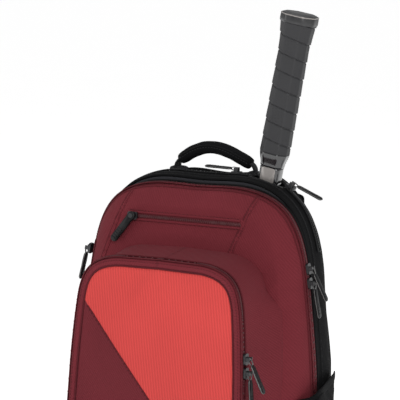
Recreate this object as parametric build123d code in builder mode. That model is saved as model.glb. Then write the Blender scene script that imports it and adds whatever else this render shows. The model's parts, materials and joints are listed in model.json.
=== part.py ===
from build123d import *
import os

os.makedirs("parts", exist_ok=True)

# Racket backpack. Millimetres. +Z is up, -Y is the front, and the origin is on the ground
# under the middle of the base.

# Driving dimensions of the bag
BAG_TOP = 502.0          # top of the rear compartment
LID_TOP = 493.0          # top of the main compartment
HALF_W = 155.0           # half of the widest width
BAG_BOTTOM = 8.0         # underside of the bag body
BACK_Y = 98.0            # rear face of the racket compartment
SPLIT_Y = 21.0           # seam between the racket and the main compartment
ZIP_Y = 11.7             # line of the main zip
FRONT_Y = -59.0          # front face of the main compartment at floor height
FRONT_LEAN = 0.10        # rearward lean of that face for each mm of height
POCKET_Y = -129.0        # front face of the front pocket at floor height
POCKET_LEAN = 0.08
POCKET_TOP = 418.5
POCKET_BOTTOM = 48.0
POCKET_HALF = 111.5
POCKET_ROUND = 26.0      # lower corners of the front pocket
WALL = 2.5               # padded fabric wall
GAP = 0.4                # clearance between neighbouring bodies
TRAY_TOP = 45.0          # rim of the fixed lower tray
DOOR_T = 3.6             # thickness of the pocket door
TAPE = 1.3               # thickness of a zip tape

# Side pockets
SIDE_TOP = 268.0
SIDE_FRONT_Y = -24.0
SIDE_REAR_Y = 70.0
SIDE_BULGE = 14.0

# Racket
RACKET_FOOT = (-16.9, 79.0, 29.0)   # lowest point of the head
RACKET_DIR = (0.187, -0.040, 1.0)
RACKET_L = 685.0
HEAD_L = 338.0
HEAD_W = 240.0
HOOP_W = 11.0
HOOP_T = 22.0
GRIP_L = 158.0
COLLAR_L = 18.0
GRIP_W = 36.0
GRIP_D = 30.0
BUTT_L = 12.0

# Opening in the top for the racket: centre and size
SLOT_X, SLOT_Y = 71.0, 58.0
SLOT_W, SLOT_D = 42.0, 36.0


def xz_plane(y):
    """Upright plane that faces the front, at one depth."""
    return Plane(origin=(0, y, 0), x_dir=(1, 0, 0), z_dir=(0, -1, 0))


def lean_plane(y, lean):
    """Plane facing the front that leans rearward by `lean` for each mm of height."""
    return Plane(origin=(0, y, 0), x_dir=(1, 0, 0), z_dir=(0, -1, lean))


def bag_face(top, inset):
    """Outline of the bag seen from the front: flat top, sloping shoulders, round lower corners."""
    full = 1.5 if top > LID_TOP else 0.0    # the rear compartment has fuller shoulders
    with BuildSketch() as face:
        with BuildLine():
            shoulder = Spline(
                (0, top - inset),
                (70 - 0.1 * inset, top - 1.5 - inset),
                (110 + full - 0.65 * inset, 473 + 3.3 * full - 0.76 * inset),
                (132 + full - 0.92 * inset, 437 + full - 0.39 * inset),
                (143.5 + 0.3 * full - 0.98 * inset, 377 - 0.18 * inset),
                (152 - inset, 300),
                (HALF_W - inset, 240),
                tangents=[(1, 0), (0, -1)],
            )
            side = Line(shoulder @ 1, (HALF_W - inset, 58))
            corner = RadiusArc(side @ 1, (HALF_W - 50, BAG_BOTTOM + inset), 50 - inset)
            Line(corner @ 1, (0, BAG_BOTTOM + inset))
            mirror(about=Plane.YZ)
        make_face()
    return face.sketch


def pocket_face(inset):
    """Outline of the front pocket: domed top corners and a flat bottom edge."""
    with BuildSketch() as face:
        with BuildLine():
            top = Line((0, POCKET_TOP - inset), (48, POCKET_TOP - 1 - inset))
            corner = Spline(
                top @ 1,
                (89 - 0.66 * inset, 404 - 0.75 * inset),
                (104.5 - 0.97 * inset, 358 - 0.23 * inset),
                (POCKET_HALF - 2 - inset, 290),
                tangents=[(1, -0.02), (0.05, -1)],
            )
            side = Line(corner @ 1, (POCKET_HALF + 5 - inset, POCKET_BOTTOM + POCKET_ROUND))
            lower = RadiusArc(
                side @ 1,
                (POCKET_HALF + 5 - POCKET_ROUND, POCKET_BOTTOM + inset),
                POCKET_ROUND - inset,
            )
            Line(lower @ 1, (0, POCKET_BOTTOM + inset))
            mirror(about=Plane.YZ)
        make_face()
    return face.sketch


def save(part, name):
    """Label one piece and write it out."""
    part.label = name
    export_step(part, f"parts/{name}.step")


# ---------------------------------------------------------------- rear of the bag
# rounded rear edge: depth of each section and how far its outline is drawn in
REAR = [(54.0, 0.0), (65.0, 1.8), (76.0, 5.6), (87.0, 10.8), (BACK_Y, 17.0)]


def rear_face(inset, wall=0.0):
    """Outline of the rear compartment; its top is drawn in less than its sides."""
    return bag_face(BAG_TOP + 0.7 * inset, inset + wall)


with BuildPart() as rear_block:
    with BuildSketch(xz_plane(REAR[0][0])):
        add(rear_face(0))
    extrude(amount=REAR[0][0] - SPLIT_Y - GAP)
    for section_y, inset in REAR:
        with BuildSketch(xz_plane(section_y)):
            add(rear_face(inset))
    loft()

with BuildPart() as rear_hollow:
    with BuildSketch(xz_plane(REAR[0][0])):
        add(rear_face(0, WALL))
    extrude(amount=REAR[0][0] - SPLIT_Y + 5)
    for section_y, inset in REAR:
        with BuildSketch(xz_plane(section_y + (0.2 if section_y == BACK_Y else 0))):
            add(rear_face(inset, WALL))
    loft()

with BuildPart() as racket_gusset:
    add(rear_block.part)
    add(rear_hollow.part, mode=Mode.SUBTRACT)
    # opening in the top that the racket handle passes through
    with Locations((SLOT_X, SLOT_Y, BAG_TOP)):
        Box(SLOT_W, SLOT_D, 60, mode=Mode.SUBTRACT)
save(racket_gusset.part, "racket_gusset")

with BuildPart() as divider_panel:
    with BuildSketch(xz_plane(SPLIT_Y + 3.4)):
        add(bag_face(BAG_TOP, WALL + GAP))
    extrude(amount=2.4)
save(divider_panel.part, "divider_panel")

# rounded rear edge of the back panel: depth behind the compartment and inset of the outline
BACK_ROUND = [(GAP, 0.5), (3.4, 0.9), (5.8, 2.6), (7.4, 6.0)]

with BuildPart() as back_panel:
    for depth, inset in BACK_ROUND:
        with BuildSketch(xz_plane(BACK_Y + depth)):
            add(rear_face(REAR[-1][1], inset))
    loft()
save(back_panel.part, "back_panel")

PAD_Y = BACK_Y + GAP * 2 + 7
pad_specs = [("back_pad_left", 66, 270, 72, 300), ("back_pad_right", -66, 270, 72, 300)]
for pad_name, pad_x, pad_z, pad_w, pad_h in pad_specs:
    with BuildPart() as back_pad:
        with BuildSketch(xz_plane(PAD_Y + 12)):
            with Locations((pad_x, pad_z)):
                RectangleRounded(pad_w, pad_h, 28)
        extrude(amount=12)
        fillet(back_pad.faces().sort_by(Axis.Y)[-1].edges(), 8)
        # air channels across the pad
        for channel_z in (pad_z - 75, pad_z, pad_z + 75):
            with Locations((pad_x, PAD_Y + 14, channel_z)):
                Box(pad_w + 10, 10, 7, mode=Mode.SUBTRACT)
    save(back_pad.part, pad_name)

with BuildPart() as lumbar_pad:
    with BuildSketch(xz_plane(PAD_Y + 15)):
        with Locations((0, 78)):
            RectangleRounded(176, 62, 26)
    extrude(amount=15)
    fillet(lumbar_pad.faces().sort_by(Axis.Y)[-1].edges(), 9)
save(lumbar_pad.part, "lumbar_pad")

with BuildPart() as base_panel:
    with BuildSketch(Plane.XY.offset(3.5)):
        with Locations((0, 22)):
            RectangleRounded(214, 150, 26)
    extrude(amount=BAG_BOTTOM - GAP - 3.5)
    fillet(base_panel.faces().sort_by(Axis.Z)[0].edges(), 2)
save(base_panel.part, "base_panel")

with BuildPart() as base_feet:
    with BuildSketch(Plane.XY):
        with Locations((0, 22)):
            with GridLocations(170, 104, 2, 2):
                SlotOverall(44, 18)
        RectangleRounded(90, 22, 6)
    extrude(amount=3.5 - 0.1)
    fillet(base_feet.faces().group_by(Axis.Z)[0].edges(), 1.6)
save(base_feet.part, "base_feet")

# ---------------------------------------------------------------- main compartment
# sections of the domed front: depth as a fraction of the full depth, and inset of the outline
DOME = [(0.0, 0.0), (0.25, 1.3), (0.5, 5.6), (0.75, 13.0), (0.9, 19.0), (1.0, 24.5)]

with BuildPart() as front_block:
    for fraction, inset in DOME:
        section_y = ZIP_Y - 0.3 + (FRONT_Y - ZIP_Y + 0.3) * fraction
        with BuildSketch(lean_plane(section_y, FRONT_LEAN * fraction)):
            add(bag_face(LID_TOP, inset))
    loft()

with BuildPart() as front_hollow:
    for fraction, inset in DOME:
        section_y = ZIP_Y + 1 + (FRONT_Y + WALL - ZIP_Y - 1) * fraction
        with BuildSketch(lean_plane(section_y, FRONT_LEAN * fraction)):
            add(bag_face(LID_TOP, inset + WALL))
    loft()

with BuildPart() as main_front_shell:
    add(front_block.part)
    add(front_hollow.part, mode=Mode.SUBTRACT)
    with Locations((0, 0, TRAY_TOP + 1.0)):
        Box(400, 400, 200, align=(Align.CENTER, Align.CENTER, Align.MAX), mode=Mode.SUBTRACT)
save(main_front_shell.part, "main_front_shell")

with BuildPart() as base_tray:
    add(front_block.part)
    add(front_hollow.part, mode=Mode.SUBTRACT)
    with Locations((0, 0, TRAY_TOP)):
        Box(400, 400, 600, align=(Align.CENTER, Align.CENTER, Align.MIN), mode=Mode.SUBTRACT)
save(base_tray.part, "base_tray")

with BuildPart() as main_rim:
    with BuildSketch(xz_plane(SPLIT_Y)):
        add(bag_face(LID_TOP, 0))
        add(bag_face(LID_TOP, 6), mode=Mode.SUBTRACT)
    extrude(amount=SPLIT_Y - ZIP_Y - 0.2)
save(main_rim.part, "main_rim")

with BuildPart() as zip_ring:
    with BuildSketch(xz_plane(ZIP_Y + 5)):
        add(bag_face(LID_TOP, -TAPE - 0.1))
        add(bag_face(LID_TOP, -0.1), mode=Mode.SUBTRACT)
    extrude(amount=10)
    with Locations((0, 0, SIDE_TOP - 14)):
        Box(400, 400, 600, align=(Align.CENTER, Align.CENTER, Align.MAX), mode=Mode.SUBTRACT)

with BuildPart() as main_zip_rear:
    add(zip_ring.part)
    with Locations((0, ZIP_Y + 0.1, 0)):
        Box(400, 100, 1200, align=(Align.CENTER, Align.MAX, Align.CENTER), mode=Mode.SUBTRACT)
save(main_zip_rear.part, "main_zip_rear")

with BuildPart() as main_zip_front:
    add(zip_ring.part)
    with Locations((0, ZIP_Y - 0.3, 0)):
        Box(400, 100, 1200, align=(Align.CENTER, Align.MIN, Align.CENTER), mode=Mode.SUBTRACT)
save(main_zip_front.part, "main_zip_front")

# ---------------------------------------------------------------- panels on the main front
with BuildPart() as pocket_gusset:
    with BuildSketch(lean_plane(FRONT_Y - GAP, FRONT_LEAN)):
        add(pocket_face(0))
    with BuildSketch(lean_plane(POCKET_Y + DOOR_T + GAP, POCKET_LEAN)):
        add(pocket_face(0))
    loft()
    with BuildSketch(lean_plane(FRONT_Y + 3, FRONT_LEAN)):
        add(pocket_face(WALL))
    with BuildSketch(lean_plane(POCKET_Y - 3, POCKET_LEAN)):
        add(pocket_face(WALL))
    loft(mode=Mode.SUBTRACT)
save(pocket_gusset.part, "pocket_gusset")

with BuildPart() as pocket_zip:
    with BuildSketch(lean_plane(POCKET_Y + DOOR_T + GAP, POCKET_LEAN)):
        add(pocket_face(-TAPE - 0.5))
        add(pocket_face(-0.5), mode=Mode.SUBTRACT)
    extrude(amount=-8)
    with Locations((0, 0, POCKET_BOTTOM + 30)):
        Box(400, 400, 100, align=(Align.CENTER, Align.CENTER, Align.MAX), mode=Mode.SUBTRACT)
save(pocket_zip.part, "pocket_zip")

with BuildPart() as welt_zip:
    with BuildSketch(lean_plane(FRONT_Y - 0.2, FRONT_LEAN)):
        with Locations((-7, 455)):
            RectangleRounded(146, 13, 3)
    extrude(amount=1.6)
    with BuildSketch(lean_plane(FRONT_Y - 0.2, FRONT_LEAN)):
        with Locations((-7, 455)):
            Rectangle(134, 1.2)
    extrude(amount=3, mode=Mode.SUBTRACT)
save(welt_zip.part, "welt_zip")

with BuildPart() as welt_lining:
    with BuildSketch(lean_plane(FRONT_Y + WALL + 0.6, FRONT_LEAN)):
        with Locations((-7, 413)):
            RectangleRounded(140, 84, 8)
    extrude(amount=-5)
save(welt_lining.part, "welt_lining")

with BuildPart() as side_zip:
    for fraction, inset in DOME:
        section_y = ZIP_Y - 0.3 + (FRONT_Y - ZIP_Y + 0.3) * fraction
        with BuildSketch(lean_plane(section_y, FRONT_LEAN * fraction)):
            add(bag_face(LID_TOP, inset - TAPE))
    loft()
    add(front_block.part, mode=Mode.SUBTRACT)
    with Locations((-150, 2, 350)):
        Box(80, 9, 140, mode=Mode.INTERSECT)
save(side_zip.part, "side_zip")

# ---------------------------------------------------------------- pocket door
with BuildPart() as door_border:
    with BuildSketch(lean_plane(POCKET_Y, POCKET_LEAN)):
        add(pocket_face(0))
        add(pocket_face(9), mode=Mode.SUBTRACT)
    extrude(amount=-DOOR_T)
save(door_border.part, "door_border")

# the colour line falls from the left edge to the right edge
DIAGONAL = [(-130, 405.3), (130, 105.5)]

with BuildPart() as door_upper:
    with BuildSketch(lean_plane(POCKET_Y, POCKET_LEAN)):
        add(pocket_face(9.2))
        with BuildLine():
            Polyline(DIAGONAL[0], DIAGONAL[1], (130, 0), (-130, 0), close=True)
        make_face(mode=Mode.SUBTRACT)
    extrude(amount=-DOOR_T)
save(door_upper.part, "door_upper")

with BuildPart() as door_lower:
    with BuildSketch(lean_plane(POCKET_Y, POCKET_LEAN)):
        add(pocket_face(9.2))
        with BuildLine():
            Polyline(
                (DIAGONAL[0][0], DIAGONAL[0][1] - 0.3),
                (DIAGONAL[1][0], DIAGONAL[1][1] - 0.3),
                (130, 500),
                (-130, 500),
                close=True,
            )
        make_face(mode=Mode.SUBTRACT)
    extrude(amount=-DOOR_T)
save(door_lower.part, "door_lower")

# ---------------------------------------------------------------- side pockets
# height and outward bulge of the pocket's sections
SIDE_SECTIONS = [(52.0, 5.0), (110.0, 12.0), (200.0, SIDE_BULGE), (SIDE_TOP, 9.0)]
SIDE_X = HALF_W + 0.6    # inner edge of the side pockets


def side_section(side, bulge, wall):
    """Half-moon section of a side pocket, moved inwards by the wall."""
    with BuildSketch() as section:
        with BuildLine():
            rear = Line((side * SIDE_X, SIDE_REAR_Y - wall), (side * (SIDE_X + 2.9 - wall), SIDE_REAR_Y - wall))
            bow = Spline(
                rear @ 1,
                (side * (SIDE_X + bulge - wall), 24),
                (side * (SIDE_X + 2.9 - wall), SIDE_FRONT_Y + wall),
            )
            Polyline(bow @ 1, (side * SIDE_X, SIDE_FRONT_Y + wall), rear @ 0)
        make_face()
    return section.sketch


for side_name, side in (("side_pocket_left", -1), ("side_pocket_right", 1)):
    with BuildPart() as side_pocket:
        for section_z, bulge in SIDE_SECTIONS:
            with BuildSketch(Plane.XY.offset(section_z)):
                add(side_section(side, bulge, 0))
        loft()
        for section_z, bulge in SIDE_SECTIONS:
            with BuildSketch(Plane.XY.offset(section_z + 2.5)):
                add(side_section(side, bulge, 2))
        loft(mode=Mode.SUBTRACT)
    save(side_pocket.part, side_name)

# ---------------------------------------------------------------- racket zip on top
with BuildPart() as racket_zip:
    with BuildSketch(xz_plane(61)):
        add(bag_face(BAG_TOP, -TAPE - 0.1))
        add(bag_face(BAG_TOP, -0.1), mode=Mode.SUBTRACT)
    extrude(amount=16)
    with Locations((0, 0, 420)):
        Box(400, 400, 600, align=(Align.CENTER, Align.CENTER, Align.MAX), mode=Mode.SUBTRACT)
    with Locations((SLOT_X, SLOT_Y, BAG_TOP)):
        Box(SLOT_W, SLOT_D, 60, mode=Mode.SUBTRACT)
save(racket_zip.part, "racket_zip")

# ---------------------------------------------------------------- sliders and pulls
PIN_H = 6.2              # height of the pull's pin above the tape
PULL_L = 42.0
PULL_W = 9.0


def slider_plane(origin, along, normal):
    """Plane on a zip: local y runs along the zip and local z points out of the fabric."""
    across = Vector(*along).cross(Vector(*normal))
    return Plane(origin=origin, x_dir=across, z_dir=normal)


def make_slider(plane, name):
    """Zip slider: rounded shuttle with two lugs and a cross pin for the pull."""
    with BuildPart() as slider:
        with BuildSketch(plane):
            RectangleRounded(9.5, 13, 2.6)
        extrude(amount=3)
        with BuildSketch(plane.offset(2.8)):
            with GridLocations(6.6, 1, 2, 1):
                RectangleRounded(1.8, 5, 0.7)
        extrude(amount=PIN_H - 2.8 + 1.6)
        with BuildSketch(Plane(plane.location * Location((-3.3, 0, PIN_H), (0, 90, 0)))):
            Circle(0.9)
        extrude(amount=6.6)
    save(slider.part, name)


def make_pull(plane, name, swing):
    """Pull: eye around the cross pin, short neck and rounded tab, swung outwards by `swing`."""
    hung = Plane(plane.location * Location((0, 0, PIN_H)) * Location((0, 0, 0), (-swing, 0, 0)))
    with BuildPart() as pull:
        with BuildSketch(Plane(hung.location * Location((-2, 0, 0), (0, 90, 0)))):
            Circle(2.5)
        extrude(amount=4)
        with BuildSketch(hung.offset(-1)):
            with Locations((0, -5)):
                Rectangle(4, 6)
        extrude(amount=2)
        with BuildSketch(Plane(hung.location * Location((-3, 0, 0), (0, 90, 0)))):
            Circle(1.4)
        extrude(amount=6, mode=Mode.SUBTRACT)
        with BuildSketch(hung.offset(-1.4)):
            with Locations((0, -7 - (PULL_L - 7) / 2)):
                RectangleRounded(PULL_W, PULL_L - 7, 3)
        extrude(amount=2.8)
    save(pull.part, name)


main_upper = slider_plane((141.8, ZIP_Y, 405), (-0.200, 0, 0.980), (0.980, 0, 0.200))
main_lower = slider_plane((144.1, ZIP_Y, 388), (-0.150, 0, 0.989), (0.989, 0, 0.150))
make_slider(main_upper, "main_slider_upper")
make_slider(main_lower, "main_slider_lower")
make_pull(main_upper, "main_pull_upper", 16)
make_pull(main_lower, "main_pull_lower", 4)

pocket_upper = slider_plane(
    (110.4, POCKET_Y + 0.08 * 316 + 7.5, 316), (-0.075, 0.08, 0.994), (0.9972, 0, 0.075)
)
pocket_lower = slider_plane(
    (111.4, POCKET_Y + 0.08 * 300 + 7.5, 300), (-0.034, 0.08, 0.9962), (0.9985, 0, 0.034)
)
make_slider(pocket_upper, "pocket_slider_upper")
make_slider(pocket_lower, "pocket_slider_lower")
make_pull(pocket_upper, "pocket_pull_upper", 24)
make_pull(pocket_lower, "pocket_pull_lower", 6)

top_left = slider_plane((30, 54, BAG_TOP + 3.0), (1, 0, 0), (0, 0, 1))
top_right = slider_plane((100.6, 54, 493.1), (-0.890, 0, 0.456), (0.456, 0, 0.890))
make_slider(top_left, "racket_slider_left")
make_slider(top_right, "racket_slider_right")
make_pull(top_left, "racket_pull_left", 3)
make_pull(top_right, "racket_pull_right", 3)

side_top = slider_plane((-140.9, 1.2, 406), (0.175, 0, 0.985), (-0.985, 0, 0.175))
make_slider(side_top, "side_slider")
make_pull(side_top, "side_pull", 4)

# welt pocket slider: the pull turns on a post that stands out of the panel
welt_plane = Plane(
    origin=(-75, FRONT_Y + FRONT_LEAN * 455 - 2.6, 455),
    x_dir=(1, 0, 0),
    z_dir=(0, -1, FRONT_LEAN),
)
with BuildPart() as welt_slider:
    with BuildSketch(welt_plane):
        RectangleRounded(13, 9.5, 2.6)
    extrude(amount=3)
    with BuildSketch(welt_plane.offset(2.8)):
        Circle(1.6)
    extrude(amount=4.2)
    with BuildSketch(welt_plane.offset(6.8)):
        Circle(2.8)
    extrude(amount=1.2)
save(welt_slider.part, "welt_slider")

with BuildPart() as welt_pull:
    with BuildSketch(welt_plane.offset(3.5)):
        Circle(4.2)
        with Locations(Location((0, 0), -37)):
            with Locations((0, -18)):
                RectangleRounded(6.5, 32, 3)
        Circle(2.1, mode=Mode.SUBTRACT)
    extrude(amount=2.8)
save(welt_pull.part, "welt_pull")

# ---------------------------------------------------------------- carry handle
HANDLE_Y = 84.0
HANDLE_R = 8.5
with BuildPart() as handle_grip:
    with BuildLine():
        arch = Spline((-60, HANDLE_Y, 513.5), (-44, HANDLE_Y, 524), (-21, HANDLE_Y, 531.5), (10, HANDLE_Y, 526),
                      (37, HANDLE_Y, 513.5))
    with BuildSketch(Plane(origin=arch @ 0, z_dir=arch % 0)):
        Circle(HANDLE_R)
    sweep()
save(handle_grip.part, "handle_grip")

for anchor_name, anchor_x, anchor_w in (("handle_anchor_left", -62, 24), ("handle_anchor_right", 41, 18)):
    with BuildPart() as handle_anchor:
        with BuildSketch(Plane.XY.offset(BAG_TOP + 0.5)):
            with Locations((anchor_x, HANDLE_Y)):
                RectangleRounded(anchor_w, 13, 3)
        extrude(amount=1.8)
    save(handle_anchor.part, anchor_name)

# ---------------------------------------------------------------- shoulder straps
YOKE_Y = BACK_Y + GAP * 2 + 7
with BuildPart() as strap_yoke:
    with BuildSketch(xz_plane(YOKE_Y + 4)):
        with Locations((0, 468)):
            RectangleRounded(196, 26, 6)
    extrude(amount=4)
save(strap_yoke.part, "strap_yoke")

STRAP_W = 58.0
STRAP_T = 9.0
for strap_name, side in (("left", -1), ("right", 1)):
    with BuildPart() as shoulder_strap:
        with BuildLine():
            strap_path = Spline(
                (side * 58, YOKE_Y + 12, 470),
                (side * 60, YOKE_Y + 37, 446),
                (side * 70, YOKE_Y + 52, 380),
                (side * 86, YOKE_Y + 50, 290),
                (side * 100, YOKE_Y + 38, 205),
                (side * 106, YOKE_Y + 30, 172),
            )
        with BuildSketch(Plane(origin=strap_path @ 0, x_dir=(1, 0, 0), z_dir=strap_path % 0)):
            RectangleRounded(STRAP_W, STRAP_T, 4)
        sweep()
    save(shoulder_strap.part, f"shoulder_strap_{strap_name}")

    buckle_plane = Plane(
        origin=(side * 107.5, YOKE_Y + 27, 158),
        x_dir=(1, 0, 0),
        z_dir=(0, -0.93, 0.37),
    )
    with BuildPart() as ladderlock:
        with BuildSketch(buckle_plane.offset(-2.5)):
            RectangleRounded(36, 22, 4)
            with GridLocations(1, 9, 1, 2):
                SlotOverall(27, 4, mode=Mode.SUBTRACT)
        extrude(amount=5)
    save(ladderlock.part, f"ladderlock_{strap_name}")

    with BuildPart() as lower_webbing:
        with BuildLine():
            webbing_path = Spline(
                (side * 108.5, YOKE_Y + 21, 143),
                (side * 107, YOKE_Y + 15, 106),
                (side * 105, YOKE_Y + 5, 73),
            )
        with BuildSketch(Plane(origin=webbing_path @ 0, x_dir=(1, 0, 0), z_dir=webbing_path % 0)):
            Rectangle(25, 1.8)
        sweep()
    save(lower_webbing.part, f"lower_webbing_{strap_name}")

    with BuildPart() as lower_anchor:
        with BuildSketch(xz_plane(YOKE_Y + 3)):
            with Locations((side * 103, 52)):
                Trapezoid(44, 30, 70)
        extrude(amount=3)
    save(lower_anchor.part, f"lower_anchor_{strap_name}")

# ---------------------------------------------------------------- racket
racket_along = Vector(*RACKET_DIR).normalized()
racket_face = Vector(1, 0, -RACKET_DIR[0]).normalized().cross(racket_along)
racket_plane = Plane(
    origin=RACKET_FOOT,
    x_dir=Vector(1, 0, -RACKET_DIR[0]).normalized(),
    z_dir=racket_face,
)
GRIP_START = RACKET_L - BUTT_L - GRIP_L

with BuildPart() as racket_frame:
    with BuildSketch(racket_plane.offset(-HOOP_T / 2)):
        with Locations((0, HEAD_L / 2)):
            Ellipse(HEAD_W / 2, HEAD_L / 2)
        # throat bars and shaft
        with BuildLine():
            Polyline((-62, 316), (-13, 452), (-13, GRIP_START - COLLAR_L), (13, GRIP_START - COLLAR_L), (13, 452), (62, 316),
                     close=True)
        make_face()
        with BuildLine():
            Polyline((-44, 330), (0, 446), (44, 330), close=True)
        make_face(mode=Mode.SUBTRACT)
        with Locations((0, HEAD_L / 2)):
            Ellipse(HEAD_W / 2 - HOOP_W, HEAD_L / 2 - HOOP_W, mode=Mode.SUBTRACT)
    extrude(amount=HOOP_T)
save(racket_frame.part, "racket_frame")

with BuildPart() as racket_strings:
    with BuildSketch(racket_plane.offset(-0.8)):
        with Locations((0, HEAD_L / 2)):
            with GridLocations(18, 1, 12, 1):
                Rectangle(1.6, HEAD_L)
            with GridLocations(1, 21, 1, 15):
                Rectangle(HEAD_W, 1.6)
    extrude(amount=1.6)
    with BuildSketch(racket_plane.offset(-3)):
        with Locations((0, HEAD_L / 2)):
            Ellipse(HEAD_W / 2 - HOOP_W - 0.3, HEAD_L / 2 - HOOP_W - 0.3)
    extrude(amount=6, mode=Mode.INTERSECT)
save(racket_strings.part, "racket_strings")


def octagon(width, depth):
    """Octagonal section of the grip."""
    cut = 0.29 * depth
    with BuildSketch() as section:
        with BuildLine():
            Polyline(
                (-width / 2, -depth / 2 + cut),
                (-width / 2 + cut, -depth / 2),
                (width / 2 - cut, -depth / 2),
                (width / 2, -depth / 2 + cut),
                (width / 2, depth / 2 - cut),
                (width / 2 - cut, depth / 2),
                (-width / 2 + cut, depth / 2),
                (-width / 2, depth / 2 - cut),
                close=True,
            )
        make_face()
    return section.sketch


grip_base = Plane(origin=racket_plane.origin, x_dir=racket_plane.x_dir, z_dir=racket_along)

with BuildPart() as racket_collar:
    with BuildSketch(grip_base.offset(GRIP_START - COLLAR_L + 0.3)):
        add(octagon(28, HOOP_T + 1))
    with BuildSketch(grip_base.offset(GRIP_START - 0.3)):
        add(octagon(GRIP_W - 1, GRIP_D - 1))
    loft()
save(racket_collar.part, "racket_collar")

with BuildPart() as racket_grip:
    with BuildSketch(grip_base.offset(GRIP_START)):
        add(octagon(GRIP_W, GRIP_D))
    with BuildSketch(grip_base.offset(GRIP_START + GRIP_L - 34)):
        add(octagon(GRIP_W, GRIP_D))
    loft()
    with BuildSketch(grip_base.offset(GRIP_START + GRIP_L - 34)):
        add(octagon(GRIP_W, GRIP_D))
    with BuildSketch(grip_base.offset(GRIP_START + GRIP_L)):
        add(octagon(GRIP_W + 7, GRIP_D + 6))
    loft()
save(racket_grip.part, "racket_grip")

with BuildPart() as racket_butt:
    with BuildSketch(grip_base.offset(GRIP_START + GRIP_L + 0.3)):
        add(octagon(GRIP_W + 8, GRIP_D + 7))
    extrude(amount=BUTT_L - 0.3)
    fillet(racket_butt.faces().sort_by(Axis.Z)[-1].edges(), 2.5)
save(racket_butt.part, "racket_butt")
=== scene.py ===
import bpy
import bmesh
import json
import math
import numpy as np
from mathutils import Matrix, Vector, noise
from mathutils.bvhtree import BVHTree


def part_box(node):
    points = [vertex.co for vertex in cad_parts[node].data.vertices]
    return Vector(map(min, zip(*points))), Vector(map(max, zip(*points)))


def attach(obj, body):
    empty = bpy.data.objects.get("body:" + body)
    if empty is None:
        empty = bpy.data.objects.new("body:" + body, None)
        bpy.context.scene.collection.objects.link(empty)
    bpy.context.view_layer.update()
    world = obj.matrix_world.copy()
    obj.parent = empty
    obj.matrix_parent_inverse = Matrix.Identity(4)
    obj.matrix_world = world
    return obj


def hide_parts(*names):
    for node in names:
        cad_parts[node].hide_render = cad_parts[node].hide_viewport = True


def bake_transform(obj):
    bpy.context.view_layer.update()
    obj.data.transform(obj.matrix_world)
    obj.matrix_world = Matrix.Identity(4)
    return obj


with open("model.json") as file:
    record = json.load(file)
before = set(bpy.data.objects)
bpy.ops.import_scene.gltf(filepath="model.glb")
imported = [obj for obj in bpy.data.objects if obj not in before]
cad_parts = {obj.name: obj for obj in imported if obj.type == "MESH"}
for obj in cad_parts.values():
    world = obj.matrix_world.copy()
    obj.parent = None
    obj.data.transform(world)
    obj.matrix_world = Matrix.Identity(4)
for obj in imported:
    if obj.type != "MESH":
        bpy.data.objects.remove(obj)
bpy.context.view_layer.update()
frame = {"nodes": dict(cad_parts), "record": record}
NODES = frame["nodes"]
JOINTS = {j["name"]: j for j in frame["record"]["behaviour"]["joints"]}

# ------------------------------------------------------------------ sizes, metres
BAG_TOP, LID_TOP, HALF_W, BAG_BOTTOM = 0.502, 0.493, 0.155, 0.008
BACK_Y, SPLIT_Y, ZIP_Y = 0.098, 0.021, 0.0117
FRONT_Y, FRONT_LEAN = -0.059, 0.10
POCKET_Y, POCKET_LEAN = -0.129, 0.08
POCKET_TOP, POCKET_BOTTOM, POCKET_HALF, POCKET_ROUND = 0.4185, 0.048, 0.1115, 0.026
DOOR_T, TRAY_TOP, SIDE_TOP, SIDE_FRONT_Y = 0.0036, 0.045, 0.268, -0.024
PAD_Y = BACK_Y + 0.0078
WELT_Z, WELT_L, WELT_R = 0.455, -0.080, 0.066
RACKET_ZIP_Y, SIDE_ZIP_Y, DOME_SEAM_Y = 0.054, 0.0012, 0.0035
DOOR_INSET, DOOR_SEAM_TOP, DOOR_SEAM_SLOPE = 0.0086, 0.2554, -1.153


# ------------------------------------------------------------------ curves
def clamped_spline(points, start, end, count=60):
    """Cubic spline through points with set end directions, chord-length spaced."""
    p = np.array(points, float)
    h = np.linalg.norm(np.diff(p, axis=0), axis=1)
    t = np.concatenate([[0], np.cumsum(h)])
    n = len(p)
    a = np.zeros((n, n))
    b = np.zeros_like(p)
    a[0, 0] = a[-1, -1] = 1
    b[0], b[-1] = start, end
    for i in range(1, n - 1):
        a[i, i - 1], a[i, i], a[i, i + 1] = h[i], 2 * (h[i - 1] + h[i]), h[i - 1]
        b[i] = 3 * (h[i] * (p[i] - p[i - 1]) / h[i - 1] + h[i - 1] * (p[i + 1] - p[i]) / h[i])
    m = np.linalg.solve(a, b)
    out = []
    for s in np.linspace(0, t[-1], count):
        i = min(max(np.searchsorted(t, s) - 1, 0), n - 2)
        u = (s - t[i]) / h[i]
        out.append(
            (2 * u**3 - 3 * u**2 + 1) * p[i]
            + (u**3 - 2 * u**2 + u) * h[i] * m[i]
            + (-2 * u**3 + 3 * u**2) * p[i + 1]
            + (u**3 - u**2) * h[i] * m[i + 1]
        )
    return np.array(out)


def resample(points, count, closed=False):
    """Points spaced evenly along a polyline."""
    p = np.array(points, float)
    if closed:
        p = np.vstack([p, p[:1]])
    s = np.concatenate([[0], np.cumsum(np.linalg.norm(np.diff(p, axis=0), axis=1))])
    at = np.linspace(0, s[-1], count + 1)[:-1] if closed else np.linspace(0, s[-1], count)
    return np.stack([np.interp(at, s, p[:, k]) for k in range(p.shape[1])], axis=1)


def smooth_path(points, count):
    """Spline through 3-D points whose ends run straight out."""
    p = np.array(points, float)
    d0 = (p[1] - p[0]) / np.linalg.norm(p[1] - p[0])
    d1 = (p[-1] - p[-2]) / np.linalg.norm(p[-1] - p[-2])
    return resample(clamped_spline(p, d0, d1, 200), count)


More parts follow.
